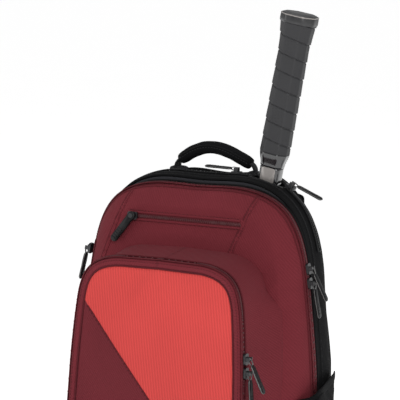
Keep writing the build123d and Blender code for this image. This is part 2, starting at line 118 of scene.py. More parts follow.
def arc(cx, cz, radius, a0, a1, count=14):
    """Points on an arc, angles in degrees."""
    t = np.radians(np.linspace(a0, a1, count))
    return np.stack([cx + radius * np.cos(t), cz + radius * np.sin(t)], axis=1)


def mirrored(right):
    """Closed outline from its right half, which runs from the top centre to the bottom centre."""
    left = right[::-1][1:-1] * np.array([-1, 1])
    return np.vstack([right, left])


def at_depth(outline, y):
    """Points of an outline in x and z, placed at one depth or at a depth each."""
    return np.stack([outline[:, 0], np.zeros(len(outline)) + y, outline[:, 1]], axis=1)


def bag_outline(top, inset=0.0, count=360):
    """Front view of the bag, drawn in by inset."""
    i = inset
    full = 0.0015 if top > LID_TOP + 0.002 else 0.0
    shoulder = clamped_spline(
        [
            (0, top - i),
            (0.070 - 0.1 * i, top - 0.0015 - i),
            (0.110 + full - 0.65 * i, 0.473 + 3.3 * full - 0.76 * i),
            (0.132 + full - 0.92 * i, 0.437 + full - 0.39 * i),
            (0.1435 + 0.3 * full - 0.98 * i, 0.377 - 0.18 * i),
            (0.152 - i, 0.300),
            (HALF_W - i, 0.240),
        ],
        (1, 0),
        (0, -1),
        90,
    )
    r = 0.050
    corner = arc(HALF_W - r, BAG_BOTTOM + r, r - i, 0, -90)
    right = np.vstack([shoulder, corner, [(0, BAG_BOTTOM + i)]])
    return resample(mirrored(right), count, True)


def rear_inset(y):
    """How far the rounded rear edge is drawn in at one depth."""
    at = [0.054, 0.0595, 0.065, 0.0705, 0.076, 0.0815, 0.087, 0.0925, 0.098]
    return float(np.interp(y, at, [0, 0.0007, 0.0018, 0.0035, 0.0056, 0.0081, 0.0108, 0.0138, 0.0170]))


def outline_at(y, top, inset=0.0, count=360):
    """Bag outline at one depth, with the rear edge's rounding."""
    if top <= LID_TOP + 0.002:
        return bag_outline(top, inset, count)
    drawn = rear_inset(y)
    return bag_outline(top + 0.7 * drawn, inset + drawn, count)


def pocket_outline(inset=0.0, count=300):
    """Front view of the front pocket, drawn in by inset."""
    i = inset
    corner = clamped_spline(
        [
            (0.048, POCKET_TOP - 0.001 - i),
            (0.089 - 0.66 * i, 0.404 - 0.75 * i),
            (0.1045 - 0.97 * i, 0.358 - 0.23 * i),
            (POCKET_HALF - 0.002 - i, 0.290),
        ],
        (1, -0.02),
        (0.05, -1),
    )
    x = POCKET_HALF + 0.005
    lower = arc(x - POCKET_ROUND, POCKET_BOTTOM + POCKET_ROUND, POCKET_ROUND - i, 0, -90)
    right = np.vstack([[(0, POCKET_TOP - i)], corner, lower, [(0, POCKET_BOTTOM + i)]])
    return resample(mirrored(right), count, True)


# ------------------------------------------------------------------ mesh building
def new_object(name, verts, faces, uvs=None, material=None, smooth=True):
    """Mesh object with one UV per vertex."""
    mesh = bpy.data.meshes.new(name)
    mesh.from_pydata([tuple(v) for v in verts], [], [tuple(f) for f in faces])
    if uvs is not None:
        layer = mesh.uv_layers.new(name="UVMap")
        for loop in mesh.loops:
            layer.data[loop.index].uv = uvs[loop.vertex_index]
    mesh.polygons.foreach_set("use_smooth", [smooth] * len(mesh.polygons))
    mesh.update()
    obj = bpy.data.objects.new(name, mesh)
    bpy.context.scene.collection.objects.link(obj)
    if material:
        mesh.materials.append(material)
    return obj


def recalc(obj):
    """Merge double points and turn all faces outwards."""
    bm = bmesh.new()
    bm.from_mesh(obj.data)
    bmesh.ops.remove_doubles(bm, verts=bm.verts, dist=1e-6)
    bmesh.ops.recalc_face_normals(bm, faces=bm.faces)
    bm.to_mesh(obj.data)
    bm.free()
    return obj


def loft(name, rings, material, closed=True, centre=None):
    """Skin over rings of equal length; an optional last point closes the end."""
    rings = [np.array(r, float) for r in rings]
    n = len(rings[0])
    verts = np.vstack(rings)
    along = np.concatenate([[0], np.cumsum(np.linalg.norm(np.diff(rings[0], axis=0), axis=1))])
    uvs = []
    depth = np.zeros(n)
    for k, ring in enumerate(rings):
        if k:
            depth = depth + np.linalg.norm(ring - rings[k - 1], axis=1)
        uvs += [(along[i], depth[i]) for i in range(n)]
    faces = []
    span = n if closed else n - 1
    for k in range(len(rings) - 1):
        for i in range(span):
            j = (i + 1) % n
            faces.append((k * n + i, k * n + j, (k + 1) * n + j, (k + 1) * n + i))
    if centre is not None:
        verts = np.vstack([verts, [centre]])
        last = (len(rings) - 1) * n
        uvs.append((0, 0))
        faces += [(last + i, last + (i + 1) % n, len(verts) - 1) for i in range(n)]
    return new_object(name, verts, faces, uvs, material)


def flat_uv(obj):
    """UV of a mostly front-facing piece: across and up, in metres; sides use the depth."""
    mesh = obj.data
    layer = mesh.uv_layers.get("UVMap") or mesh.uv_layers.new(name="UVMap")
    for poly in mesh.polygons:
        side = abs(poly.normal.x) > 0.8
        for li in poly.loop_indices:
            co = mesh.vertices[mesh.loops[li].vertex_index].co
            layer.data[li].uv = (co.y if side else co.x, co.z)


def frames(points, ups, closed=False):
    """Points, tangents, up vectors and side vectors of a path."""
    p = np.array(points, float)
    if closed:
        t = np.roll(p, -1, 0) - np.roll(p, 1, 0)
    else:
        t = np.gradient(p, axis=0)
    t /= np.linalg.norm(t, axis=1)[:, None]
    u = np.broadcast_to(np.array(ups, float), p.shape).copy()
    u -= (u * t).sum(1)[:, None] * t
    u /= np.linalg.norm(u, axis=1)[:, None]
    return p, t, u, np.cross(t, u)


def sweep(name, points, ups, profile, material, closed=False, scale=None):
    """Sweep a closed profile of (side, up) pairs along a path."""
    p, t, u, s = frames(points, ups, closed)
    prof = np.array(profile, float)
    m = len(prof)
    if scale is None:
        scale = np.ones((len(p), 2))
    verts = []
    for i in range(len(p)):
        ring = p[i] + np.outer(prof[:, 0] * scale[i][0], s[i]) + np.outer(prof[:, 1] * scale[i][1], u[i])
        verts.append(ring)
    verts = np.vstack(verts)
    along = np.concatenate([[0], np.cumsum(np.linalg.norm(np.diff(p, axis=0), axis=1))])
    round_ = np.concatenate([[0], np.cumsum(np.linalg.norm(np.diff(prof, axis=0), axis=1))])
    uvs = [(along[i], round_[k]) for i in range(len(p)) for k in range(m)]
    faces = []
    for i in range(len(p) if closed else len(p) - 1):
        j = (i + 1) % len(p)
        for k in range(m):
            l = (k + 1) % m
            faces.append((i * m + k, j * m + k, j * m + l, i * m + l))
    if not closed:
        faces += [tuple(range(m))[::-1], tuple((len(p) - 1) * m + k for k in range(m))]
    return recalc(new_object(name, verts, faces, uvs, material))


def oval(w, h, count=14, power=2.0):
    """Superellipse profile."""
    t = np.linspace(0, 2 * np.pi, count, endpoint=False)
    c, s = np.cos(t), np.sin(t)
    return np.stack(
        [w / 2 * np.sign(c) * abs(c) ** (2 / power), h / 2 * np.sign(s) * abs(s) ** (2 / power)], 1
    )


def modify(obj, kind, **values):
    """Add a modifier and set its values."""
    m = obj.modifiers.new(kind.title(), kind)
    for key, value in values.items():
        setattr(m, key, value)
    return m


def apply_all(obj):
    """Replace the mesh with its evaluated one and drop the modifiers."""
    deps = bpy.context.evaluated_depsgraph_get()
    mesh = bpy.data.meshes.new_from_object(obj.evaluated_get(deps))
    obj.modifiers.clear()
    obj.data = mesh
    return obj


def displace(obj, function):
    """Move every vertex along its normal by function(position) metres."""
    mesh = obj.data
    normals = [v.normal.copy() for v in mesh.vertices]
    for v, n in zip(mesh.vertices, normals):
        v.co += n * function(v.co)
    mesh.update()
    return obj


def wave(co, size, seed=0.0):
    """Smooth noise at a size in metres."""
    return noise.noise(Vector((co[0] / size + seed, co[1] / size - seed, co[2] / size + 2 * seed)))


def part(obj, body, replaces=()):
    """Hide the nodes a finished piece replaces and hang it on the body it rides on."""
    if replaces:
        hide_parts(*replaces)
    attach(obj, body)
    return obj


# ------------------------------------------------------------------ materials
class Tree:
    """Short way to write a node material."""

    def __init__(self, name):
        self.mat = bpy.data.materials.new(name)
        self.mat.use_nodes = True
        self.nt = self.mat.node_tree
        self.bsdf = self.nt.nodes["Principled BSDF"]

    def node(self, kind, **inputs):
        """New node with its inputs set."""
        n = self.nt.nodes.new(kind)
        for key, value in inputs.items():
            self.set(n, key, value)
        return n

    def set(self, n, key, value):
        """Set or link one input."""
        key = key.replace("_", " ")
        if key.isdigit():
            target = n.inputs[int(key)]
        elif key in n.inputs:
            target = n.inputs[key]
        else:
            setattr(n, key.replace(" ", "_"), value)
            return
        if isinstance(value, bpy.types.NodeSocket):
            self.nt.links.new(value, target)
        else:
            target.default_value = value

    def math(self, op, a, b=0.0):
        """One math node."""
        n = self.nt.nodes.new("ShaderNodeMath")
        n.operation = op
        for k, v in enumerate((a, b)):
            if isinstance(v, bpy.types.NodeSocket):
                self.nt.links.new(v, n.inputs[k])
            else:
                n.inputs[k].default_value = v
        return n.outputs[0]

    def mix(self, factor, a, b):
        """Mix of two colours."""
        n = self.nt.nodes.new("ShaderNodeMix")
        n.data_type = "RGBA"
        for k, v in ((0, factor), (6, a), (7, b)):
            if isinstance(v, bpy.types.NodeSocket):
                self.nt.links.new(v, n.inputs[k])
            else:
                n.inputs[k].default_value = v
        return n.outputs[2]

    def ramp(self, value, low, high):
        """Value remapped from low..high to 0..1."""
        n = self.nt.nodes.new("ShaderNodeMapRange")
        n.inputs[1].default_value, n.inputs[2].default_value = low, high
        self.nt.links.new(value, n.inputs[0])
        return n.outputs[0]

    def noise(self, scale, detail=3.0, vector=None, rough=0.55):
        """Noise texture value."""
        n = self.node("ShaderNodeTexNoise", Scale=scale, Detail=detail, Roughness=rough)
        self.nt.links.new(vector or self.coords(), n.inputs["Vector"])
        return n.outputs[0]

    def coords(self):
        """Object coordinates, made once."""
        if not hasattr(self, "_co"):
            self._co = self.nt.nodes.new("ShaderNodeTexCoord").outputs["Object"]
        return self._co

    def xyz(self, vector):
        """Components of a vector."""
        n = self.nt.nodes.new("ShaderNodeSeparateXYZ")
        self.nt.links.new(vector, n.inputs[0])
        return n.outputs

    def uv(self):
        """Components of the UV map."""
        n = self.nt.nodes.new("ShaderNodeUVMap")
        n.uv_map = "UVMap"
        return self.xyz(n.outputs[0])

    def bump(self, height, distance, strength=1.0, base=None):
        """Bump node on the shader's normal."""
        n = self.node("ShaderNodeBump", Strength=strength, Distance=distance)
        self.nt.links.new(height, n.inputs["Height"])
        if base is not None:
            self.nt.links.new(base, n.inputs["Normal"])
        self.nt.links.new(n.outputs[0], self.bsdf.inputs["Normal"])
        return n.outputs[0]

    def finish(self, colour=None, rough=0.6, **fixed):
        """Set colour, roughness and fixed values, and return the material."""
        b = self.bsdf.inputs
        if isinstance(colour, bpy.types.NodeSocket):
            self.nt.links.new(colour, b["Base Color"])
        elif colour is not None:
            b["Base Color"].default_value = colour
        if isinstance(rough, bpy.types.NodeSocket):
            self.nt.links.new(rough, b["Roughness"])
        else:
            b["Roughness"].default_value = rough
        for key, value in fixed.items():
            b[key.replace("_", " ")].default_value = value
        return self.mat


def rgb(c, k=1.0):
    """Colour with full alpha, scaled by k."""
    return (c[0] * k, c[1] * k, c[2] * k, 1.0)


def cloth(
    name, colour, pitch=0.0016, ribs=0.0, contrast=0.25, sheen=0.02, bump=0.00025, use_uv=True, rough=0.85,
    spec=0.10
):
    """Woven cloth: two crossing thread waves, a diagonal twill line, fading and small fluff."""
    t = Tree(name)
    if use_uv:
        out = t.uv()
        u, v = out[0], out[1]
    else:
        out = t.xyz(t.coords())
        u, v = t.math("ADD", out[0], out[1]), out[2]
    k = 2 * math.pi / pitch
    warp = t.math("SINE", t.math("MULTIPLY", u, k))
    weft = t.math("SINE", t.math("MULTIPLY", v, k))
    twill = t.math("SINE", t.math("MULTIPLY", t.math("ADD", u, t.math("MULTIPLY", v, 0.8)), k * 0.55))
    threads = t.math(
        "ADD", t.math("MULTIPLY", t.math("MULTIPLY", warp, weft), 0.5), t.math("MULTIPLY", twill, 0.5)
    )
    if ribs:
        slant = t.math("ADD", u, t.math("MULTIPLY", v, 0.16))
        line = t.math("SINE", t.math("MULTIPLY", slant, 2 * math.pi / ribs))
        threads = t.math("ADD", t.math("MULTIPLY", threads, 0.4), t.math("MULTIPLY", line, 0.8))
    fade = t.noise(9.0, 4.0)
    fluff = t.noise(900.0, 2.0)
    shade = t.math("ADD", t.ramp(threads, -1.2, 1.2), t.math("MULTIPLY", t.math("SUBTRACT", fade, 0.5), 1.1))
    shade = t.math("ADD", shade, t.math("MULTIPLY", t.math("SUBTRACT", fluff, 0.5), 0.35))
    col = t.mix(shade, rgb(colour, 1 - contrast), rgb(colour, 1 + contrast))
    wrinkle = t.bump(t.noise(38.0, 3.0), 0.0016, 0.35)
    t.bump(threads, bump, 0.6, wrinkle)
    return t.finish(
        col,
        t.ramp(fluff, -1.5, 2.2) if rough is None else rough,
        Sheen_Weight=sheen,
        Sheen_Roughness=0.45,
        Specular_IOR_Level=spec,
    )


def webbing_material(name, colour):
    """Flat woven strap: herringbone rows along the length."""
    t = Tree(name)
    out = t.uv()
    row = t.math("ABSOLUTE", t.math("SINE", t.math("MULTIPLY", out[1], math.pi / 0.0042)))
    chev = t.math(
        "SINE",
        t.math("MULTIPLY", t.math("ADD", out[0], t.math("MULTIPLY", row, 0.0016)), 2 * math.pi / 0.0017)
    )
    col = t.mix(t.ramp(chev, -1, 1), rgb(colour, 0.55), rgb(colour, 1.5))
    t.bump(t.math("ADD", chev, row), 0.0004, 0.8)
    return t.finish(col, 0.7, Sheen_Weight=0.02, Specular_IOR_Level=0.2)


def mesh_material(name, colour):
    """Air mesh: round pores in offset rows over a soft ground."""
    t = Tree(name)
    pores = t.node("ShaderNodeTexVoronoi", Scale=330.0, Randomness=0.12)
    t.nt.links.new(t.coords(), pores.inputs["Vector"])
    hole = t.ramp(pores.outputs["Distance"], 0.15, 0.5)
    fade = t.math("ADD", t.math("MULTIPLY", hole, 0.8), t.math("MULTIPLY", t.noise(14.0), 0.35))
    col = t.mix(fade, rgb(colour, 0.25), rgb(colour, 1.7))
    t.bump(hole, 0.0008, 0.8)
    return t.finish(col, 0.85, Sheen_Weight=0.02, Specular_IOR_Level=0.15)


def moulded(name, colour, rough=0.45, grain=500.0, depth=0.00008, coat=0.0, **extra):
    """Moulded rubber or plastic: fine grain, scuffs and slightly worn high spots."""
    t = Tree(name)
    g = t.noise(grain, 2.0)
    scuff = t.ramp(t.noise(60.0, 6.0, rough=0.7), 0.45, 0.75)
    col = t.mix(scuff, rgb(colour), rgb([c * 1.5 + 0.012 for c in colour]))
    r = t.math("ADD", t.math("MULTIPLY", scuff, 0.18), rough)
    t.bump(g, depth, 0.7)
    return t.finish(col, r, Coat_Weight=coat, Coat_Roughness=0.2, **extra)


BLACK, BURG, CORAL = (0.0045, 0.0045, 0.0050), (0.128, 0.0175, 0.0240), (0.47, 0.050, 0.046)
M = {
    "burg": cloth("burgundy_twill", BURG, 0.0018, contrast=0.20, bump=0.0004),
    "burg_door": cloth("burgundy_twill_door", [c * 0.88 for c in BURG], 0.0018, contrast=0.22, bump=0.0004),
    # darker burgundy: the real dark piping and welt, and also the thin dark cords that paint the shade in
    # seam folds and grooves
    "burg_dark_piping_and_shade": cloth("burgundy_twill_dark_piping_and_painted_shade", [c * 0.62 for c in BURG], 0.0015, contrast=0.16),
    "coral": cloth("coral_rib", CORAL, 0.0016, ribs=0.0034, contrast=0.16, sheen=0.03),
    "black": cloth("black_twill", BLACK, 0.0015, contrast=0.4, sheen=0.01, spec=0.07),
    "stretch": cloth("stretch_jersey", BLACK, 0.0022, contrast=0.5, sheen=0.01, bump=0.0004, spec=0.07),
    "lining": cloth("lining_taffeta", (0.03, 0.03, 0.034), 0.0011, contrast=0.3, use_uv=False),
    "piping": cloth("binding_tape", [c * 0.8 for c in BURG], 0.0011, contrast=0.3, rough=0.65),
    "piping_black": cloth("binding_tape_black", BLACK, 0.0011, contrast=0.5, rough=0.65),
    "thread": cloth("thread_burgundy", [c * 0.55 for c in BURG], 0.0006, contrast=0.4, rough=0.6),
    "thread_black": cloth("thread_black", (0.022, 0.022, 0.024), 0.0006, contrast=0.4, rough=0.6),
    "web": webbing_material("webbing_black", (0.016, 0.016, 0.018)),
    "mesh": mesh_material("air_mesh", (0.022, 0.022, 0.025)),
    "rubber": moulded("rubber_black", (0.0045, 0.0045, 0.0050), 0.42, Specular_IOR_Level=0.2),
    "coated": moulded("coated_base_cloth", (0.016, 0.016, 0.018), 0.55, 900.0, 0.0002),
    "plastic": moulded("plastic_black", (0.015, 0.015, 0.016), 0.32, 900.0, 0.00004),
    "gunmetal": moulded("gunmetal_paint", (0.018, 0.018, 0.020), 0.36, 700.0, 0.00003, 0.4, Metallic=0.6),
    "edge": moulded("bright_edge", (0.11, 0.108, 0.106), 0.38, 900.0, 0.00002, 0.3, Metallic=0.9),
    "tooth": moulded("coil_burgundy", [c * 0.5 for c in BURG], 0.5, 900.0, 0.00003),
    "tooth_black": moulded("coil_black", (0.014, 0.014, 0.015), 0.35, 900.0, 0.00003),
}


# ------------------------------------------------------------------ trims on surfaces
def bvh(obj):
    """Search tree of an evaluated object."""
    deps = bpy.context.evaluated_depsgraph_get()
    return BVHTree.FromObject(obj, deps)


def on_surface(tree, points, direction, back=0.2):
    """Points and normals where rays in one direction (or a direction each) meet a surface."""
    hit_points, normals = [], []
    for k, p in enumerate(points):
        d = Vector(direction[k] if hasattr(direction[0], "__len__") else direction).normalized()
        start = Vector(p) - d * back
        hit, normal, _, _ = tree.ray_cast(start, d, 1.0)
        if hit is None:
            continue
        if normal.dot(d) > 0:
            normal.negate()
        hit_points.append(tuple(hit))
        normals.append(tuple(normal))
    return np.array(hit_points), np.array(normals)


def smoothed(values, times=4):
    """Values averaged with their neighbours, ends kept."""
    v = np.array(values, float)
    for _ in range(times):
        v[1:-1] = (v[:-2] + 2 * v[1:-1] + v[2:]) / 4
    return v


def laid(tree, points, direction, times=4):
    """A smoothed line, with its normals, laid on a surface."""
    p, n = on_surface(tree, points, direction)
    return smoothed(p, times), smoothed(n, times)


def stitches(name, points, normals, material, body, pitch=0.0036, length=0.0026, radius=0.0004, closed=False):
    """A row of thread stitches lying on a surface."""
    total = np.linalg.norm(np.diff(points, axis=0), axis=1).sum()
    count = max(int(total / pitch), 3)
    both = resample(np.hstack([points, normals]), count, closed)
    p, t, u, s = frames(both[:, :3], both[:, 3:], closed)
    verts, faces = [], []
    prof = [
        (-1, 0, 0), (-0.6, 1, 0), (-0.6, 0, 1), (-0.6, -1, 0), (0.6, 1, 0), (0.6, 0, 1), (0.6, -1, 0),
        (1, 0, 0)
    ]
    quads = [(0, 1, 2), (0, 2, 3), (1, 4, 5, 2), (2, 5, 6, 3), (4, 7, 5), (5, 7, 6)]
    for i in range(len(p)):
        base = len(verts)
        for a, b, c in prof:
            verts.append(
                p[i] + t[i] * a * length / 2 + s[i] * b * radius + u[i] * (c * radius * 1.1 + 0.00005)
            )
        faces += [tuple(base + k for k in q) for q in quads]
    return part(new_object(name, verts, faces, [(0, 0)] * len(verts), material), body)


def teeth(name, points, normals, material, body, side, pitch=0.0019, reach=0.0022, closed=False):
    """One row of coil teeth beside a zip line; side is +1 or -1."""
    total = np.linalg.norm(np.diff(points, axis=0), axis=1).sum()
    count = max(int(total / pitch), 3)
    both = resample(np.hstack([points, normals]), count, closed)
    p, t, u, s = frames(both[:, :3], both[:, 3:], closed)
    verts, faces = [], []
    box = [(a, b, c) for c in (0, 1) for a, b in ((-1, 0), (1, 0), (0.75, 1), (-0.75, 1))]
    quads = [(3, 2, 1, 0), (4, 5, 6, 7), (0, 1, 5, 4), (1, 2, 6, 5), (2, 3, 7, 6), (3, 0, 4, 7)]
    for i in range(len(p)):
        base = len(verts)
        shift = t[i] * (0.25 * pitch * side)
        for a, b, c in box:
            sideways = s[i] * side * (0.0018 - b * reach)
            verts.append(p[i] + shift + t[i] * a * pitch * 0.23 + sideways + u[i] * (c * 0.0011))
        faces += [tuple(base + k for k in q) for q in quads]
    obj = new_object(name, verts, faces, [(0, 0)] * len(verts), material, smooth=False)
    return part(recalc(obj), body)


def strip_profile(width, thick):
    """Section of a flat band with softened edges."""
    w, h = width / 2, thick
    return [(-w, 0), (-w * 0.93, h * 0.8), (-w * 0.6, h), (w * 0.6, h), (w * 0.93, h * 0.8), (w, 0)]


def tape(name, points, normals, width, thick, material, body, offset=0.0, lift=0.0, closed=False):
    """Flat band lying on a surface beside a line."""
    p, t, u, s = frames(points, normals, closed)
    line = p + s * offset + u * lift
    return part(sweep(name, line, u, strip_profile(width, thick), material, closed), body)


def cord_edge(name, points, normals, radius, material, body, closed=False, lift=0.0):
    """Thin round tube along a line: piping, and the dark cords that paint shade in seam folds and grooves."""
    p, t, u, s = frames(points, normals, closed)
    return part(sweep(name, p + u * lift, u, oval(radius * 2, radius * 2, 8), material, closed), body)


def shift_side(points, normals, offset, lift=0.0):
    """The line moved sideways along the surface and lifted off it."""
    p, t, u, s = frames(points, normals)
    return p + s * offset + u * lift, u


def stitch_row(name, points, normals, offset, lift, material, body):
    """Stitches beside a line on a surface."""
    row, ups = shift_side(points, normals, offset, lift)
    return stitches(name, row, ups, material, body)


def coil_row(name, points, normals, lift, material, body, side):
    """Coil teeth on a line lifted off the surface."""
    row, ups = shift_side(points, normals, 0.0, lift)
    return teeth(name, row, ups, material, body, side)


def stand_for(node):
    """Hide a CAD node that a finished piece stands for."""
    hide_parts(node)


# ------------------------------------------------------------------ main compartment front
DOME_STEPS = 26


def dome_section(f):
    """Inset of the dome's outline at a fraction of its depth."""
    return 0.0004 + 0.0241 * f**2.13


def dome_ring(f, inset, count=420):
    """Outline of the main front at a fraction of its depth."""
    y0 = ZIP_Y + (FRONT_Y - ZIP_Y) * f
    out = bag_outline(LID_TOP, inset, count)
    return at_depth(out, y0 + FRONT_LEAN * f * out[:, 1])


def creased(x, z, creases):
    """Depth that soft creases add at one place of a front-facing cloth."""
    total = 0.0
    for cx, cz, half_w, half_h, slant, depth in creases:
        dx, dz = x - cx - slant * (z - cz), z - cz
        total += depth * math.exp(-((dx / half_w) ** 2) - (dz / half_h) ** 2)
    return total


# soft creases in the slack cloth: centre x and z, half width and height, slant, depth
FRONT_CREASES = (
    (0.098, 0.402, 0.007, 0.030, 0.9, -0.0016),
    (0.112, 0.385, 0.008, 0.034, 0.7, 0.0013),
    (0.122, 0.352, 0.007, 0.030, 0.5, -0.0012),
    (0.128, 0.300, 0.006, 0.034, -0.35, 0.0012),
    (0.136, 0.262, 0.006, 0.036, -0.45, -0.0012),
    (0.075, 0.436, 0.012, 0.014, 1.6, 0.0011),
    (-0.060, 0.470, 0.030, 0.008, -1.0, 0.0009),
    (0.020, 0.474, 0.034, 0.007, 2.0, 0.0008),
)
DOOR_CREASES = (
    (-0.030, 0.392, 0.010, 0.020, 0.5, 0.0014),
    (-0.014, 0.390, 0.006, 0.018, 0.7, -0.0011),
    (0.004, 0.394, 0.008, 0.014, 0.6, 0.0009),
    (-0.055, 0.388, 0.008, 0.022, 0.2, -0.0008),
    (0.060, 0.383, 0.009, 0.020, -0.8, 0.0008),
)


def build_dome(name):
    """Cloth of the main front: domed, slightly wavy and creased."""
    rings = []
    for f in np.linspace(0, 1, DOME_STEPS) ** 0.8:
        rings.append(dome_ring(f, dome_section(f)))
    rim = rings[-1]
    centre = np.array([0, 0, 0.25])
    centre[1] = FRONT_Y + FRONT_LEAN * centre[2]
    for s in np.concatenate([[0.99, 0.978, 0.966], np.linspace(0.955, 0, 44)[:-1]]):
        ring = centre + (rim - centre) * s
        ring[:, 1] -= 0.0040 * (1 - s**2) + 0.0032 * (1 - s**9)
        rings.append(ring)
    centre[1] -= 0.0072
    obj = loft(name, rings, M["burg"], centre=centre)
    recalc(obj)
    flat_uv(obj)

    def soft(co):
        """Waves and creases, fading out at the zip."""
        zone = min(1.0, max(0.0, (ZIP_Y - co.y) / 0.02))
        big = wave(co, 0.085, 3.1) * 0.0018
        small = wave(co, 0.030, 7.7) * 0.0007
        return zone * (big + small + creased(co.x, co.z, FRONT_CREASES))

    displace(obj, soft)
    # shallow valley along the welt pocket, so that its zip runs straight
    for v in obj.data.vertices:
        if abs(v.co.x) < 0.100 and v.co.y < 0.0:
            flat = FRONT_Y + FRONT_LEAN * v.co.z - 0.0006
            near = math.exp(-(((v.co.z - WELT_Z) / 0.014) ** 4)) * math.exp(-((v.co.x / 0.088) ** 8))
            v.co.y += near * max(0.0, flat - v.co.y)
    return obj


def clip_height(obj, z, keep_above):
    """Keep the part of a mesh above or below a height."""
    bm = bmesh.new()
    bm.from_mesh(obj.data)
    geom = bm.verts[:] + bm.edges[:] + bm.faces[:]
    bmesh.ops.bisect_plane(
        bm,
        geom=geom,
        plane_co=(0, 0, z),
        plane_no=(0, 0, 1),
        clear_outer=not keep_above,
        clear_inner=keep_above,
    )
    bm.to_mesh(obj.data)
    bm.free()


front_body = build_dome("front_body")
FRONT_BVH = bvh(front_body)
tray_body = front_body.copy()
tray_body.data = front_body.data.copy()
tray_body.name = "tray_body"
bpy.context.scene.collection.objects.link(tray_body)
clip_height(front_body, TRAY_TOP + 0.0011, True)
clip_height(tray_body, TRAY_TOP - 0.0001, False)
for obj, body, node in ((front_body, "main_front", "main_front_shell"), (tray_body, "bag", "base_tray")):
    modify(obj, "SOLIDIFY", thickness=0.0022, offset=-1)
    part(obj, body, [node])

# slanted lap seams across the front, each with a fold line and two stitch rows; the fold line is a thin dark
# cord, painted shade of the fold
SEAMS = {"left": ((-0.0835, 0.4885), (-0.1140, 0.400)), "right": ((0.0815, 0.4885), (0.0500, 0.402))}
for side, (top, low) in SEAMS.items():
    line = [
        (top[0] + (low[0] - top[0]) * s, -0.3, top[1] + (low[1] - top[1]) * s) for s in np.linspace(0, 1, 50)
    ]
    p, n = laid(FRONT_BVH, line, (0, 1, 0))
    tape(f"seam_{side}_lap", p, n, 0.0052, 0.0006, M["burg"], "main_front")
    edge, en = shift_side(p, n, 0.0026, 0.0002)
    cord_edge(f"seam_{side}_fold", edge, en, 0.0006, M["burg_dark_piping_and_shade"], "main_front")
    for k, off in enumerate((-0.0016, 0.0013)):
        stitch_row(f"seam_{side}_stitch_{k}", p, n, off, 0.0006, M["thread"], "main_front")


def around(y, top, inset=0.0, low=SIDE_TOP - 0.012, count=420):
    """Open line round the bag at one depth, from low on the left, over the top, to low on the right."""
    out = outline_at(y, top, inset, count)
    keep = out[:, 1] > low
    order = np.roll(np.arange(count), count // 2)
    out = out[order][keep[order]]
    pts = at_depth(out, y)
    tangent = np.gradient(out, axis=0)
    normal = np.stack([-tangent[:, 1], np.zeros(len(out)), tangent[:, 0]], axis=1)
    normal /= np.linalg.norm(normal, axis=1)[:, None]
    return pts, normal


# seam that runs round the dome inside the zip, with its stitches; its fold is a dark cord, painted shade
# along the seam
base, nrm = around(DOME_SEAM_Y, LID_TOP, 0.0, 0.052)
p, n = laid(FRONT_BVH, base + nrm * 0.03, -nrm)
cord_edge("dome_seam_fold", p, n, 0.0011, M["burg_dark_piping_and_shade"], "main_front", lift=0.0001)
stitch_row("dome_seam_stitch", p, n, -0.0035, 0.0002, M["thread"], "main_front")


# ------------------------------------------------------------------ zips
def zip_half(name, points, normals, body, side, cloth_mat, tooth_mat, width=0.0046, lift=0.0003):
    """One tape of a zip with its coil; side +1 or -1 of the zip line."""
    tape(f"{name}_tape", points, normals, width, 0.0007, cloth_mat, body, side * (width / 2 + 0.0009), lift)
    coil_row(f"{name}_coil", points, normals, lift + 0.0004, tooth_mat, body, side)
    stitch_row(
        f"{name}_stitch", points, normals, side * (width + 0.0001), lift + 0.0007,
        M["thread_black"] if cloth_mat is M["piping_black"] else M["thread"], body
    )


main_line, main_normal = around(ZIP_Y, LID_TOP, -0.0002)
zip_half("main_zip_a", main_line + [0, -0.0003, 0], main_normal, "main_front", -1, M["piping"], M["tooth"])
zip_half("main_zip_b", main_line + [0, 0.0005, 0], main_normal, "bag", 1, M["piping"], M["tooth"])
for node, keeper, body in (
    ("main_zip_front", "main_zip_a_tape", "main_front"), ("main_zip_rear", "main_zip_b_tape", "bag")
):
    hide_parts(node)

# burgundy rim behind the zip
rim_rings = []
for y, inset in (
    (ZIP_Y + 0.0004, 0.0022), (ZIP_Y + 0.0004, 0.0003), (ZIP_Y + 0.003, 0), (SPLIT_Y - 0.002, 0),
    (SPLIT_Y, 0.0006), (SPLIT_Y, 0.006)
):
    out = bag_outline(LID_TOP, inset)
    rim_rings.append(at_depth(out, y))
rim_body = recalc(loft("rim_body", rim_rings, M["burg"]))
modify(rim_body, "SOLIDIFY", thickness=0.0015, offset=-1)
part(rim_body, "bag", ["main_rim"])
p, n = around(SPLIT_Y + 0.0001, LID_TOP + 0.001, -0.0006, 0.009)
cord_edge("boundary_piping", p, n, 0.0014, M["piping_black"], "bag")


# ------------------------------------------------------------------ rear compartment
def black_ring(y, inset):
    """Ring of the rear compartment at one depth."""
    out = outline_at(y, BAG_TOP, inset, 420)
    return at_depth(out, y)


SLOT_X, SLOT_Y = (0.050, 0.092), (0.040, 0.076)
depths = [
    SPLIT_Y + 0.0003, 0.0225, 0.025, 0.030, SLOT_Y[0], 0.046, 0.053, 0.060, 0.0655, 0.071, SLOT_Y[1], 0.080,
    0.084, 0.088, 0.092, 0.095, 0.097, BACK_Y
]
rear_rings = []
for y in depths:
    mid = math.sin(math.pi * (y - SPLIT_Y) / (BACK_Y - SPLIT_Y))
    edge = 0.0022 if y in (depths[0], BACK_Y) else 0.0
    rear_rings.append(black_ring(y, edge - 0.0010 * mid))
rear_body = loft("rear_body", rear_rings, M["black"])
bm = bmesh.new()
bm.from_mesh(rear_body.data)
cut = [
    f
    for f in bm.faces
    if SLOT_X[0] < f.calc_center_median().x < SLOT_X[1]
    and SLOT_Y[0] < f.calc_center_median().y < SLOT_Y[1]
    and f.calc_center_median().z > 0.4
]
bmesh.ops.delete(bm, geom=cut, context="FACES")
bm.to_mesh(rear_body.data)
bm.free()
recalc(rear_body)


